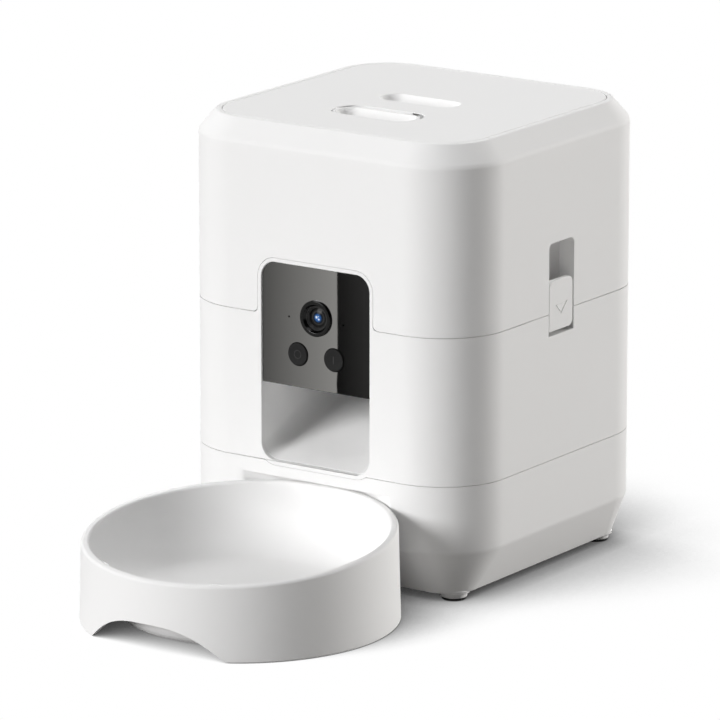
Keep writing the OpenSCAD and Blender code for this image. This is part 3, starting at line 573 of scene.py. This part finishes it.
SHELL = moulded_plastic(
    "white_moulded_shell", 0.945, 0.93, 0.62, 0.000012, 0.003, Specular_IOR_Level=0.3)
# The chute's white is a lighter copy of the shell's white: painted light that brightens its shaded inside.
LIGHTENED_CHUTE = moulded_plastic("chute_plastic_lightened", 0.97, 0.96, 0.45, 0.000012, 0.003, Specular_IOR_Level=0.35)
INNER = moulded_plastic("inner_white_plastic", 0.80, 0.77, 0.5, 0.00002, 0.006)
DARK = moulded_plastic("black_satin_plastic", 0.016, 0.022, 0.42, 0.00002)
KEYS = moulded_plastic("button_plastic", 0.009, 0.012, 0.6, 0.00002, Specular_IOR_Level=0.15)
MARK = moulded_plastic("button_mark_ink", 0.03, 0.036, 0.5, 0.00001, Specular_IOR_Level=0.2)
GEARS = moulded_plastic("gear_resin", 0.74, 0.7, 0.4, 0.00001, 0.02)
RING = lens_barrel("lens_ring_plastic")
PANEL = gloss_black("camera_panel_gloss")
GLASS = lens_painted_glints("coated_lens_painted_glints")
PADS = rubber_like("foot_rubber", 0.012, 0.7)
SEAL = rubber_like("seal_silicone", 0.52, 0.6)
PADDLE = rubber_like("paddle_rubber", 0.42, 0.62)
STEEL = plated_steel("plated_steel", 0.62, 0.24)
CAN = plated_steel("motor_can", 0.55, 0.34)
BOARD = circuit_green("circuit_board")


def paint_over(piece, finish):
    piece.data.materials.clear()
    piece.data.materials.append(finish)


# The pieces that stay as the CAD has them
for finish, nodes in (
    (INNER, ("tank_hopper", "lid_tray", "desiccant_cup", "desiccant_cap", "rotor_deck",
             "bottom_cover", "camera_cover", "camera_box")),
    (STEEL, ("clasp_pins", "camera_screws", "deck_screws", "gearbox_screws", "cover_screws",
             "idler_pin", "drive_spindle", "motor_pinion")),
    (GEARS, ("output_wheel", "idler_gear", "gearbox_case", "gearbox_cover")),
    (BOARD, ("camera_board", "main_board")),
    (DARK, ("speaker", "power_inlet")),
    (SEAL, ("lid_seal",)),
    (PADDLE, ("rotor",)),
    (CAN, ("motor",)),
):
    for node in nodes:
        paint_over(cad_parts[node], finish)


def fit(piece, body, finish, slot, *stands_for):
    """Gives a finished piece its finish and its body, and hides the CAD nodes that it stands for."""
    paint_over(piece, finish)
    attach(piece, body)
    if stands_for:
        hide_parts(*stands_for)


# Forms that the housing's parts share


def clasp_recess(side, z0):
    """The finger recess over a clasp, with its two upper corners rounded."""
    recess = block("recess", on_side(side, *RECESS_X), (-RECESS_HALF, RECESS_HALF), (z0, RECESS_TOP))
    round_edges(recess, lambda a, b: lies_across(a, b) and near(a.z, RECESS_TOP), 4.0, 6)
    return recess


def soften_recess(piece, side, low, high, size):
    """Rounds the outer rim of a clasp recess between two heights."""
    reach = RECESS_HALF + 0.2
    rim = edges_in(x=about(side * HALF), y=(-reach, reach), z=(low, high))
    round_edges(piece, rim, size, 3)


def frame_pane(name, room, y):
    """The outline of the window frame, grown all round by some room."""
    edge = FRAME_EDGE + room
    return upright_pane(
        name, WINDOW + edge, WINDOW_LOW - FRAME_FOOT - room, WINDOW_TOP + edge, WINDOW_ROUND + edge, y)


def shoulder(side, x, z, r, y):
    """The hollow-sided corner between the window frame's side at x and a level edge at z."""
    corner = block("shoulder", on_side(side, x - 0.5, x + r), y, (z - 0.5, z + r))
    past = (y[0] - 1, y[1] + 1)
    carve(corner, drum("shoulder_round", r, past, (side * (x + r), z + r), axis="Y"))
    return corner


def seam_tongue(z):
    """The thin tongue that closes the seam over height z."""
    tongue = housing_block("seam_tongue", 1.2, z - 1.0, z + 0.3)
    carve(tongue, housing_block("tongue_inside", 2.4, z - CLEAR, z + CLEAR))
    return tongue


# Food tank, lid and latch


def make_tank():
    tank = housing_block("tank_skin", 0, TANK_LOW, CROWN)
    lean(tank, CROWN, CROWN_IN, TOP - CROWN)
    soften_level(tank, CROWN, 1.8, 5)
    soften_level(tank, TOP, 0.9, 3)
    soften_level(tank, TANK_LOW, 0.2, 2)
    hollow = housing_block("hollow", WALL, TANK_LOW - CLEAR, CROWN - 1)
    lean(hollow, CROWN - 1, 5.0, 5.8)
    carve(tank, hollow)
    carve(tank, housing_block("throat", THROAT_IN, CROWN, TOP + CLEAR))
    carve(tank, housing_block("seat", SEAT_IN, TOP - LID_THICK, TOP + CLEAR))
    soften_level(tank, TOP, 0.3, 2, inside=HALF - SEAT_IN + 0.4)
    carve(tank, frame_pane("frame_gap", FRAME_GAP, (-105, -90.2)))
    for side in SIDES:
        carve(tank, shoulder(side, WINDOW + FRAME_EDGE + FRAME_GAP, TANK_LOW, 3.2, (-105, -91)))
        heights = (TANK_LOW + 0.2, RECESS_TOP + 2.5)
        carve(tank, block("pocket", on_side(side, *POCKET_X), (-15.5, 15.5), heights), "UNION")
        carve(tank, clasp_recess(side, TANK_LOW - 5.2))
        soften_recess(tank, side, TANK_LOW + 0.3, RECESS_TOP + 0.2, 0.6)
    smooth(tank)
    fit(tank, "tank", SHELL, "white_shell", "tank_shell", "tank_rim", "tank_pockets")


def scoop(name, y):
    """A dished finger recess, 52 by 19 mm at the lid's top."""
    tool = rounded_block(name, 53.9, 20.9, 10.4, TOP - GRIP_DEEP, TOP + CLEAR, y=y)
    soften_level(tool, TOP - GRIP_DEEP, 9.0, 18)
    return tool


def make_lid():
    below = TOP - 22
    lid = housing_block("lid_skin", LID_IN, TOP - LID_THICK, TOP)
    soften_level(lid, TOP, 0.5, 3)
    carve(lid, rounded_block("cup", *LATCH_PLAN, LATCH_LOW, TOP - 3.4, y=GRIP_Y), "UNION")
    carve(lid, scoop("rear_grip", GRIP_Y))
    carve(lid, rounded_block("latch_way", 56.7, 26.65, 11.85, below, TOP + CLEAR, y=-37.925))
    soften_level(lid, TOP, 0.25, 2, inside=60.0)
    carve(lid, block("under_latch", (15, 31), (-37, -21), (below, TOP - 0.5)))
    smooth(lid)
    fit(lid, "lid", SHELL, "white_shell", "lid")


def make_latch():
    latch = rounded_block("latch_skin", *LATCH_PLAN, LATCH_LOW, LATCH_TOP, y=LATCH_Y)
    soften_level(latch, LATCH_TOP, 0.6, 3)
    carve(latch, block("bolt", (-9, 9), (-79.0, -47.9), (TOP - 12, TOP - 8)), "UNION")
    for side in SIDES:
        wing = block("wing", on_side(side, 20, 31), about(LATCH_Y, 5), (TOP - 5.95, TOP - 4.35))
        carve(latch, wing, "UNION")
    carve(latch, scoop("front_grip", LATCH_Y))
    grip_rim = edges_in(x=(-26.2, 26.2), y=about(LATCH_Y, 9.7), z=about(LATCH_TOP))
    round_edges(latch, grip_rim, 0.5, 3)
    smooth(latch)
    fit(latch, "lid_latch", SHELL, "white_shell", "lid_latch")


def make_spring():
    """The latch's coil spring, drawn at the length of the CAD spring."""
    low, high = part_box("latch_spring")
    front, rear = in_mm(low), in_mm(high)
    wire, turns, steps = 0.4, 6, 16
    ring = (rear.x - front.x) / 2 - wire
    height = (front.z + rear.z) / 2
    length = rear.y - front.y
    line = []
    for i in range(turns * steps + 1):
        turn = 2 * math.pi * i / steps
        y = front.y + wire + (length - 2 * wire) * i / (turns * steps)
        line.append((ring * math.cos(turn), y, height + ring * math.sin(turn)))
    take(trace("latch_spring_coil", line))
    bpy.ops.object.convert(target="CURVE")
    curve = bpy.context.active_object.data
    curve.bevel_depth = wire * MM
    curve.bevel_resolution = 2
    curve.use_fill_caps = True
    bpy.ops.object.convert(target="MESH")
    coil = bpy.context.active_object
    smooth(coil, 50)
    fit(coil, "lid", STEEL, "steel", "latch_spring")
    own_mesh(coil)


# Middle shell with its window frame, and the chute behind it


def make_middle():
    plate = (FRONT, PLATE_BACK)
    seam = (MIDDLE_TOP - CLEAR, MIDDLE_TOP + CLEAR)
    shell = housing_block("middle_skin", 0, MIDDLE_LOW, MIDDLE_TOP)
    carve(shell, frame_pane("window_frame", 0.0, plate), "UNION")
    for side in SIDES:
        carve(shell, shoulder(side, WINDOW + FRAME_EDGE, MIDDLE_TOP, 3.0, plate), "UNION")
    carve(shell, housing_block("hollow", WALL, MIDDLE_LOW - CLEAR, MIDDLE_TOP + 5.2))
    carve(shell, frame_pane("window_plate", -0.05, (FRONT + 0.1, PLATE_BACK)), "UNION")
    lip = housing_block("lip", 2.95, MIDDLE_TOP - 3.8, MIDDLE_TOP + 3.7)
    carve(lip, housing_block("lip_root", 2.3, MIDDLE_TOP - 3.8, MIDDLE_TOP - 0.8), "UNION")
    carve(lip, housing_block("lip_inside", 4.6, *seam))
    carve(lip, block("front_gap", (-44, 44), (-120, 0), seam))
    carve(lip, block("side_gap", (-120, 120), (-17, 17), seam))
    carve(shell, lip, "UNION")
    tongue = seam_tongue(MIDDLE_TOP)
    carve(tongue, block("front_gap", (-43, 43), (-120, 0), seam))
    carve(shell, tongue, "UNION")
    carve(shell, upright_pane("window", WINDOW, WINDOW_LOW, WINDOW_TOP, WINDOW_ROUND, THROUGH_FRONT))
    for side in SIDES:
        heights = (RECESS_LOW - 2.5, MIDDLE_TOP - 0.2)
        carve(shell, block("pocket", on_side(side, *POCKET_X), (-16.5, 16.5), heights), "UNION")
        recess = (-RECESS_HALF, RECESS_HALF)
        carve(shell, block("recess", on_side(side, *RECESS_X), recess, (RECESS_LOW, RECESS_OPEN)))
        soften_recess(shell, side, RECESS_LOW - 0.5, MIDDLE_TOP - 0.4, 0.5)
    reach = WINDOW + 0.1
    window_rim = edges_in(x=(-reach, reach), y=about(FRONT), z=(WINDOW_LOW - 0.2, WINDOW_TOP + 0.2))
    round_edges(shell, window_rim, 0.5, 3)
    smooth(shell)
    fit(shell, "base", SHELL, "white_shell", "middle_shell", "window_frame", "base_pockets")


def make_chute():
    """The window's own lower outline, carried back up the slope."""
    low = WINDOW_LOW + 0.2

    def trough(name, wall):
        half = WINDOW + wall
        piece = block(name, (-half, half), (-160, 60), (low - wall, 160))
        round_edges(piece, lambda a, b: runs_back(a, b) and a.z < 100, WINDOW_ROUND + wall, 18)
        tip(piece, -CHUTE_SLOPE, at(0, PLATE_BACK, low))
        return piece
    chute = trough("chute_skin", 2.2)
    inside = trough("chute_inside", 0.0)
    carve(inside, block("back", (-60, 60), (CHUTE_BACK, 120), (0, 300)))
    round_edges(inside, edges_in(y=about(CHUTE_BACK, 0.1), z=(0, 125)), 7.0, 8)
    carve(chute, inside)
    room = block("room", (-60, 60), (PLATE_BACK, CHUTE_BACK + 2.2), (40, PANEL_LOW - 0.4))
    carve(chute, room, "INTERSECT")
    smooth(chute, 40)
    fit(chute, "base", LIGHTENED_CHUTE, "white_shell", "chute")


# Lower shell with the bowl's pocket


def bowl_cone(name, room, z1):
    """The bowl's slightly conical outside up to a height, grown by some room."""
    slant = (BOWL_FOOT - BOWL_RIM) / RIM_Z
    wide = BOWL_FOOT + room
    return drum(name, wide + slant, (-1, z1), (0, BOWL_Y), far=wide - slant * z1, sides=192)


def heeled_block(name):
    """The lower housing: a rounded block on a heel that draws in to a smaller, sharper base."""
    upper = housing_block(name, 0, HEEL, LOWER_TOP)
    pick(upper, "FACE", lambda c, n: near(c.z, HEEL))
    bpy.ops.mesh.delete(type="FACE")
    close()
    across = WIDE - 2 * HEEL_IN
    base = rounded_block("heel_base", across, across, HEEL_ROUND, UNDER, UNDER + 1)
    pick(base, "FACE", lambda c, n: c.z > UNDER + 0.1)
    bpy.ops.mesh.delete(type="FACE")
    close()
    shell = join_all([upper, base], name)
    pick(shell, "EDGE", lambda a, b: near(a.z, b.z) and (near(a.z, HEEL) or near(a.z, UNDER)))
    bpy.ops.mesh.bridge_edge_loops()
    close_outwards()
    return shell


def foot_places():
    return [(x, y) for x in (-FOOT_X, FOOT_X) for y in (-FOOT_Y, FOOT_Y)]


def flared_feet():
    """Four round feet that widen in a hollow curve towards the floor."""
    sole = [(0, 1.4), (7.0, 1.4), (7.4, 1.6), (7.5, 1.9)]
    flare = [(9.7 - r, z) for r, z in arc(0, 2.2, 2.2, 0, 78, 8)]
    root = [(9.5, 5.6), (8.6, 7.2), (0, 8.4)]
    feet = [lathe("foot", sole + flare + root, place, steps=48) for place in foot_places()]
    return join_all(feet, "feet")


def sound_holes():
    """A round field of small holes for the speaker."""
    hole = drum("sound_hole", 1.2, THROUGH_BACK, (SOUND_X, SOUND_Z), axis="Y", sides=16)
    holes = [hole]
    for i in range(-2, 3):
        for k in range(-2, 3):
            if 0 < i * i + k * k < 7:
                twin = copy_of(hole, "sound_hole")
                open_whole(twin)
                bpy.ops.transform.translate(value=(i * SOUND_PITCH * MM, 0, k * SOUND_PITCH * MM))
                close()
                holes.append(twin)
    return join_all(holes, "sound_holes")


def make_lower():
    shell = heeled_block("lower_skin")
    soften_level(shell, HEEL, 1.2, 4)
    soften_level(shell, UNDER, 1.2, 4)
    soften_level(shell, LOWER_TOP, 0.2, 2)
    wall = copy_of(shell, "pocket_wall")
    hollow = housing_block("hollow", WALL, HEEL + 2, LOWER_TOP + CLEAR)
    lean(hollow, HEEL + 2, 11.2, HEEL - UNDER - 0.6)
    carve(shell, hollow)
    carve(wall, bowl_cone("around", 3.4, 63.3), "INTERSECT")
    carve(shell, wall, "UNION")
    carve(shell, seam_tongue(LOWER_TOP), "UNION")
    carve(shell, bowl_cone("pocket", 1.0, 60.92))
    carve(shell, frame_pane("frame_gap", FRAME_GAP, (-105, -96.2)))
    carve(shell, flared_feet(), "UNION")
    carve(shell, rounded_block("hatch_seat", 140, 120, 9, 0, UNDER + 1.6, y=15.0, steps=8))
    carve(shell, drum("inlet_hole", INLET_ROUND, THROUGH_BACK, (INLET_X, INLET_Z), axis="Y", sides=48))
    carve(shell, sound_holes())

    def at_inlet(p):
        return near(p.y, HALF) and math.hypot(p.x - INLET_X, p.z - INLET_Z) < INLET_ROUND + 0.1
    round_edges(shell, lambda a, b: at_inlet(a) and at_inlet(b), 0.4, 2)
    smooth(shell)
    fit(shell, "base", SHELL, "white_shell", "lower_shell")


def make_pads():
    thick = 3.0
    pads = []
    for place in foot_places():
        pad = drum("pad", 7.0, (0, thick), place, sides=48)
        soften_level(pad, 0.0, 0.6, 3)
        soften_level(pad, thick, 0.2, 2)
        pads.append(pad)
    pads = join_all(pads, "foot_pad_skin")
    smooth(pads)
    fit(pads, "base", PADS, "rubber", "foot_pads")


# Camera panel, lens and buttons


def make_panel():
    half, top = WINDOW - PANEL_ROOM, WINDOW_TOP - PANEL_ROOM
    panel = block("panel_skin", (-half, half), (PANEL_FACE, PLATE_BACK), (PANEL_LOW, top))
    round_edges(panel, lambda a, b: runs_back(a, b) and near(a.z, top), WINDOW_ROUND - PANEL_ROOM, 14)
    round_edges(panel, edges_in(y=about(PANEL_FACE)), 0.2, 2)
    carve(panel, drum("lens_hole", LENS_HOLE, THROUGH_FRONT, (0, LENS_Z), axis="Y"))
    for side in SIDES:
        carve(panel, drum("button_hole", 6.95, THROUGH_FRONT, (side * BUTTON_X, BUTTON_Z), axis="Y"))
        pin_hole = (side * 18.6, LENS_Z - 1.3)
        carve(panel, drum("pin_hole", 0.6, THROUGH_FRONT, pin_hole, axis="Y", sides=20))
    smooth(panel)
    fit(panel, "base", PANEL, "black_gloss", "camera_panel")


def make_lens():
    neck, rim, back, seat = LENS_HOLE - 0.05, 10.4, -88.0, -98.75
    flange = [(neck, back), (neck, seat), (rim, seat), (rim, -99.7)]
    bead = [(rim - 0.5 + r, -99.7 - y) for r, y in arc(0.0, 0.0, 0.5, 0, 90, 5)]
    steps_in = [
        (8.6, -100.2), (8.2, -100.1), (7.3, -98.6), (7.0, -98.4), (6.75, -98.4), (6.6, -98.0),
        (6.3, -97.7), (6.1, -97.7), (5.9, -97.4), (5.5, -96.8), (5.5, -94.0), (4.5, -94.0)]
    outline = flange + bead + steps_in + [(4.5, back), (neck, back)]
    ring = lathe("lens_ring_skin", outline, (0, LENS_Z), axis="Y", steps=72)
    smooth(ring, 30, weigh=False)
    fit(ring, "base", RING, "black_matte", "lens_ring")
    wide, flat = 5.45, -94.2
    bow = [(wide * i / 12, -97.3 + 1.2 * (i / 12) ** 2) for i in range(13)]
    glass = lathe("lens_glass_skin", bow + [(wide, flat), (0, flat)], (0, LENS_Z), axis="Y", steps=64)
    smooth(glass, 30, weigh=False)
    fit(glass, "base", GLASS, "glass", "lens_glass")


def make_button(side, body):
    """A dished button on its stem, with a ring on the left one and a bar on the right one."""
    x = side * BUTTON_X
    edge = [(r, -99.1 - z) for r, z in arc(6.0, 0.0, 0.6, 90, 0, 5)]
    face = [(0, -99.45), (4.6, -99.5), (5.9, -99.7)] + edge
    flange, stem = (-96.15, -95.45), -91.55
    rear = [(6.6, flange[0]), (7.6, flange[0]), (7.6, flange[1]), (2.0, flange[1]), (2.0, stem), (0, stem)]
    button = lathe(body + "_skin", face + rear, (x, BUTTON_Z), axis="Y", steps=56)
    smooth(button, 40, weigh=False)
    fit(button, body, KEYS, "black_matte", body)
    ink = (-99.56, -99.42)
    if side < 0:
        ring = [(2.1, ink[1]), (2.1, ink[0]), (2.5, ink[0]), (2.5, ink[1]), (2.1, ink[1])]
        mark = lathe(body + "_mark", ring, (x, BUTTON_Z), axis="Y", steps=40)
    else:
        mark = block(body + "_mark", about(x, 0.35), ink, about(BUTTON_Z, 2.2))
        round_edges(mark, runs_back, 0.34, 5)
    smooth(mark)
    fit(mark, body, MARK, "black_matte")


# Side clasps


def arrow_groove(side):
    """The outline of a triangle that points down, to be cut into a clasp's face."""
    deep = side * (CLASP_FACE - 0.45)
    left, right, point = (deep, -6.4, 159.9), (deep, 6.4, 159.9), (deep, 0, 153.0)
    arrow = trace("arrow", [left, right, point, left])
    open_filled(arrow)
    bpy.ops.mesh.inset(thickness=0.75 * MM, depth=0)
    bpy.ops.mesh.delete(type="FACE")
    bpy.ops.mesh.select_all(action="SELECT")
    bpy.ops.mesh.extrude_region_move(TRANSFORM_OT_translate={"value": (side * 2 * MM, 0, 0)})
    close_outwards()
    return arrow


def make_clasp(side, body):
    low, high, half = 144.3, 173.5, 12.2
    clasp = block(body + "_skin", on_side(side, 97.0, CLASP_FACE), (-half, half), (low, high))
    round_edges(clasp, lambda a, b: lies_across(a, b) and (near(a.z, high) or a.y > 0), 4.0, 10)
    round_edges(clasp, lambda a, b: lies_across(a, b) and near(a.z, low) and near(a.y, -half), 1.0, 4)
    round_edges(clasp, edges_in(x=about(side * CLASP_FACE)), 0.6, 3)
    pin = (side * PIN_X, PIN_Z)
    carve(clasp, drum("barrel", 2.5, (-8, 8), pin, axis="Y", sides=40), "UNION")
    carve(clasp, block("hook", on_side(side, 93.6, 97.6), (-8, 8), (161, 164)), "UNION")
    carve(clasp, drum("pin_way", 1.55, (-20, 20), pin, axis="Y", sides=32))
    carve(clasp, arrow_groove(side))
    smooth(clasp)
    fit(clasp, body, SHELL, "white_shell", body)


# Bowl


def arch_cut():
    """The low finger arch at the bowl's front."""
    y = BOWL_Y - 130
    hump = []
    for i in range(-20, 21):
        height = ARCH_HIGH * (1 - (abs(i) / 20) ** 2.8) ** 1.15
        hump.append((ARCH_HALF * i / 20, y, height))
    below = [(ARCH_HALF, y, -6), (-ARCH_HALF, y, -6), (-ARCH_HALF, y, 0.0)]
    arch = trace("arch", hump + below)
    open_filled(arch)
    bpy.ops.mesh.extrude_region_move(TRANSFORM_OT_translate={"value": (0, ARCH_DEPTH * MM, 0)})
    close_outwards()
    return arch


def make_bowl():
    inside = [(0, 17.0), (40, 17.0)] + arc(57.6, 43, 26, -90, 0, 26) + [(83.6, 68.0), (87.92, 68.0)]
    skirt = [(89.68, 0.6), (89.2, 0.0), (87.1, 0.0), (86.5, 0.6), (85.7, 33.6)]
    under = arc(57.6, 43, 29, -18.9, -90, 18) + [(40, 14.0), (0, 14.0)]
    bowl = lathe("bowl_skin", inside + skirt + under, (0, BOWL_Y), steps=160)
    above = block("above", (-150, 150), about(BOWL_Y, 150), (RIM_Z, RIM_Z + 80))
    tip(above, -RIM_SLOPE, at(0, BOWL_Y, RIM_Z))
    carve(bowl, above)
    open_whole(bowl)
    bpy.ops.mesh.remove_doubles(threshold=0.12 * MM)
    close()

    def on_rim(p):
        return abs(p.z - RIM_Z - (p.y - BOWL_Y) * math.tan(RIM_SLOPE)) < 0.03

    def reach(p):
        return math.hypot(p.x, p.y - BOWL_Y)
    round_edges(bowl, lambda a, b: on_rim(a) and on_rim(b) and near(reach(a), reach(b), 0.4), 1.7, 6)
    carve(bowl, arch_cut())
    smooth(bowl, 40)
    fit(bowl, "bowl", SHELL, "white_shell", "bowl")


def make_pan():
    """The pan under the dish, which shows through the arch."""
    outside = [(0, 2.0), (40, 2.0)] + arc(60, 14, 12, -90, 0, 12) + [(72, 18.2), (69.6, 17.0)]
    inside = arc(60, 14, 9.6, 0, -90, 10) + [(40, 4.4), (0, 4.4)]
    pan = lathe("bowl_pan_skin", outside + inside, (0, BOWL_Y), steps=96)
    smooth(pan, 40)
    fit(pan, "bowl", SHELL, "white_shell", "bowl_base")


make_tank()
make_lid()
make_latch()
make_spring()
make_middle()
make_chute()
make_lower()
make_pads()
make_panel()
make_lens()
make_button(-1, "button_left")
make_button(1, "button_right")
make_clasp(1, "clasp_right")
make_clasp(-1, "clasp_left")
make_bowl()
make_pan()


# Camera, at the photograph's viewing angle

eye = Vector((1.98376, -2.84955, 1.0052))
back = Vector((0.550617, -0.798065, 0.244772)).normalized()
put_down()
bpy.ops.object.camera_add(location=eye, rotation=(-back).to_track_quat("-Z", "Y").to_euler())
camera = bpy.context.active_object
camera.data.lens = 317.08
camera.data.sensor_width = 36.0
camera.data.clip_end = 100.0
bpy.context.scene.camera = camera


# Studio: lamps, world and floor


def sun(name, azimuth, height, level, spread, tint=(1.0, 1.0, 1.0)):
    """A soft lamp; azimuth is turned from the front towards the right."""
    a, h = math.radians(azimuth), math.radians(height)
    way = Vector((math.sin(a) * math.cos(h), -math.cos(a) * math.cos(h), math.sin(h)))
    put_down()
    bpy.ops.object.light_add(type="SUN", location=way * 3, rotation=way.to_track_quat("Z", "Y").to_euler())
    lamp = bpy.context.active_object
    lamp.name = name
    lamp.data.energy = level * math.pi
    lamp.data.angle = math.radians(spread)
    lamp.data.color = tint


sun("key_lamp", -26.5, 18, 0.825, 28)
sun("rear_lamp", 145, 8, 0.8, 26, (1.0, 0.988, 0.968))
sun("high_lamp", 220, 47, 0.38, 34)
sun("top_lamp", 60, 74, 0.2, 34)

# The world is white where it is seen and gives the object only a trace of light
world = bpy.data.worlds.new("studio_air")
bpy.context.scene.world = world
world.use_nodes = True
air = world.node_tree
sky = air.nodes["Background"]
path = air.nodes.new("ShaderNodeLightPath")
seen = air.nodes.new("ShaderNodeMath")
seen.operation = "MAXIMUM"
air.links.new(path.outputs["Is Camera Ray"], seen.inputs[0])
air.links.new(path.outputs["Is Transmission Ray"], seen.inputs[1])
lift = air.nodes.new("ShaderNodeMapRange")
lift.inputs["To Min"].default_value = 0.01
lift.inputs["To Max"].default_value = 1.0
air.links.new(seen.outputs[0], lift.inputs["Value"])
air.links.new(lift.outputs["Result"], sky.inputs["Strength"])
sky.inputs["Color"].default_value = (1, 1, 1, 1)

# The floor is white where it is seen, with a painted shadow where the object hides the light
put_down()
bpy.ops.mesh.primitive_plane_add(size=16, location=(0, 0, -0.0003))
floor = settle("studio_floor")
ground = Finish("studio_floor_paint")
rays = ground.tree.nodes.new("ShaderNodeLightPath")
camera_ray, glossy_ray, through_ray = (
    Value(ground, rays.outputs[ray]) for ray in ("Is Camera Ray", "Is Glossy Ray", "Is Transmission Ray"))
shown = ground.greater(ground.greater(camera_ray, glossy_ray), through_ray)
paint = ground.add("ShaderNodeBsdfDiffuse", sockets={"Color": grey(0.38, 0.02)})
towards_light = ground.add("ShaderNodeCombineXYZ", sockets={"X": -0.41, "Y": -0.709, "Z": 0.574})
# Occlusion towards the light, mapped to grey and emitted to camera, gloss and transmission rays, is the
# painted shadow
open_sky = ground.add(
    "ShaderNodeAmbientOcclusion", {"samples": 32}, {"Distance": 0.25, "Normal": towards_light}, out=1)
shade = ground.add("ShaderNodeMapRange", sockets={
    "Value": open_sky, "From Min": 0.1875, "From Max": 0.665})
floor_glow_with_painted_shadow = ground.add("ShaderNodeEmission", sockets={"Color": shade ** 1.33, "Strength": 1.0})
ground.surface(ground.add("ShaderNodeMixShader", sockets={0: shown, 1: paint, 2: floor_glow_with_painted_shadow}))
floor.data.materials.append(ground.material)


# Two cards on the floor, which the panel mirrors: they meet on an upright line at its right
CARD_LINE, CARD_HEIGHTS = 14.5, (100, 200)


def mirrored(x, z):
    """Where the camera's line, mirrored in the panel at x and z, meets the floor."""
    point = at(x, PANEL_FACE, z)
    way = (point - eye).normalized()
    way.y = -way.y
    return point + way * ((0.004 - point.z) / way.z)


def studio_card(name, x, z, levels):
    """A card that only gloss sees, with levels for the panel's left top, right top and left bottom."""
    put_down()
    bpy.ops.mesh.primitive_plane_add(size=1)
    card = settle(name)
    corners = [(across, up) for up in z for across in x]
    for point, corner in zip(card.data.vertices, corners):
        point.co = mirrored(*corner)
    first, right, low = mirrored(-WINDOW, 185), mirrored(CARD_LINE, 185), mirrored(-WINDOW, 115)
    a, b = right - first, low - first
    area = a.x * b.y - a.y * b.x
    rise_a, rise_b = levels[1] - levels[0], levels[2] - levels[0]
    slope_x = (rise_a * b.y - rise_b * a.y) / area
    slope_y = (rise_b * a.x - rise_a * b.x) / area
    paint = Finish(name + "_paint")
    here = paint.place()
    east = paint.add("ShaderNodeSeparateXYZ", sockets={0: here}, out=0)
    north = paint.add("ShaderNodeSeparateXYZ", sockets={0: here}, out=1)
    level = (east - first.x) * slope_x + (north - first.y) * slope_y + levels[0]
    paint.surface(paint.add("ShaderNodeEmission", sockets={
        "Color": (1.0, 0.985, 0.945, 1.0), "Strength": level}))
    card.data.materials.append(paint.material)
    card.visible_camera = card.visible_diffuse = card.visible_shadow = card.visible_transmission = False


studio_card("pale_card", (-60, CARD_LINE), CARD_HEIGHTS, (0.6, 2.05, 0.66))
studio_card("dark_card", (CARD_LINE, 70), CARD_HEIGHTS, (-0.36, 0.03, -0.36))

bpy.context.scene.view_settings.view_transform = "Standard"
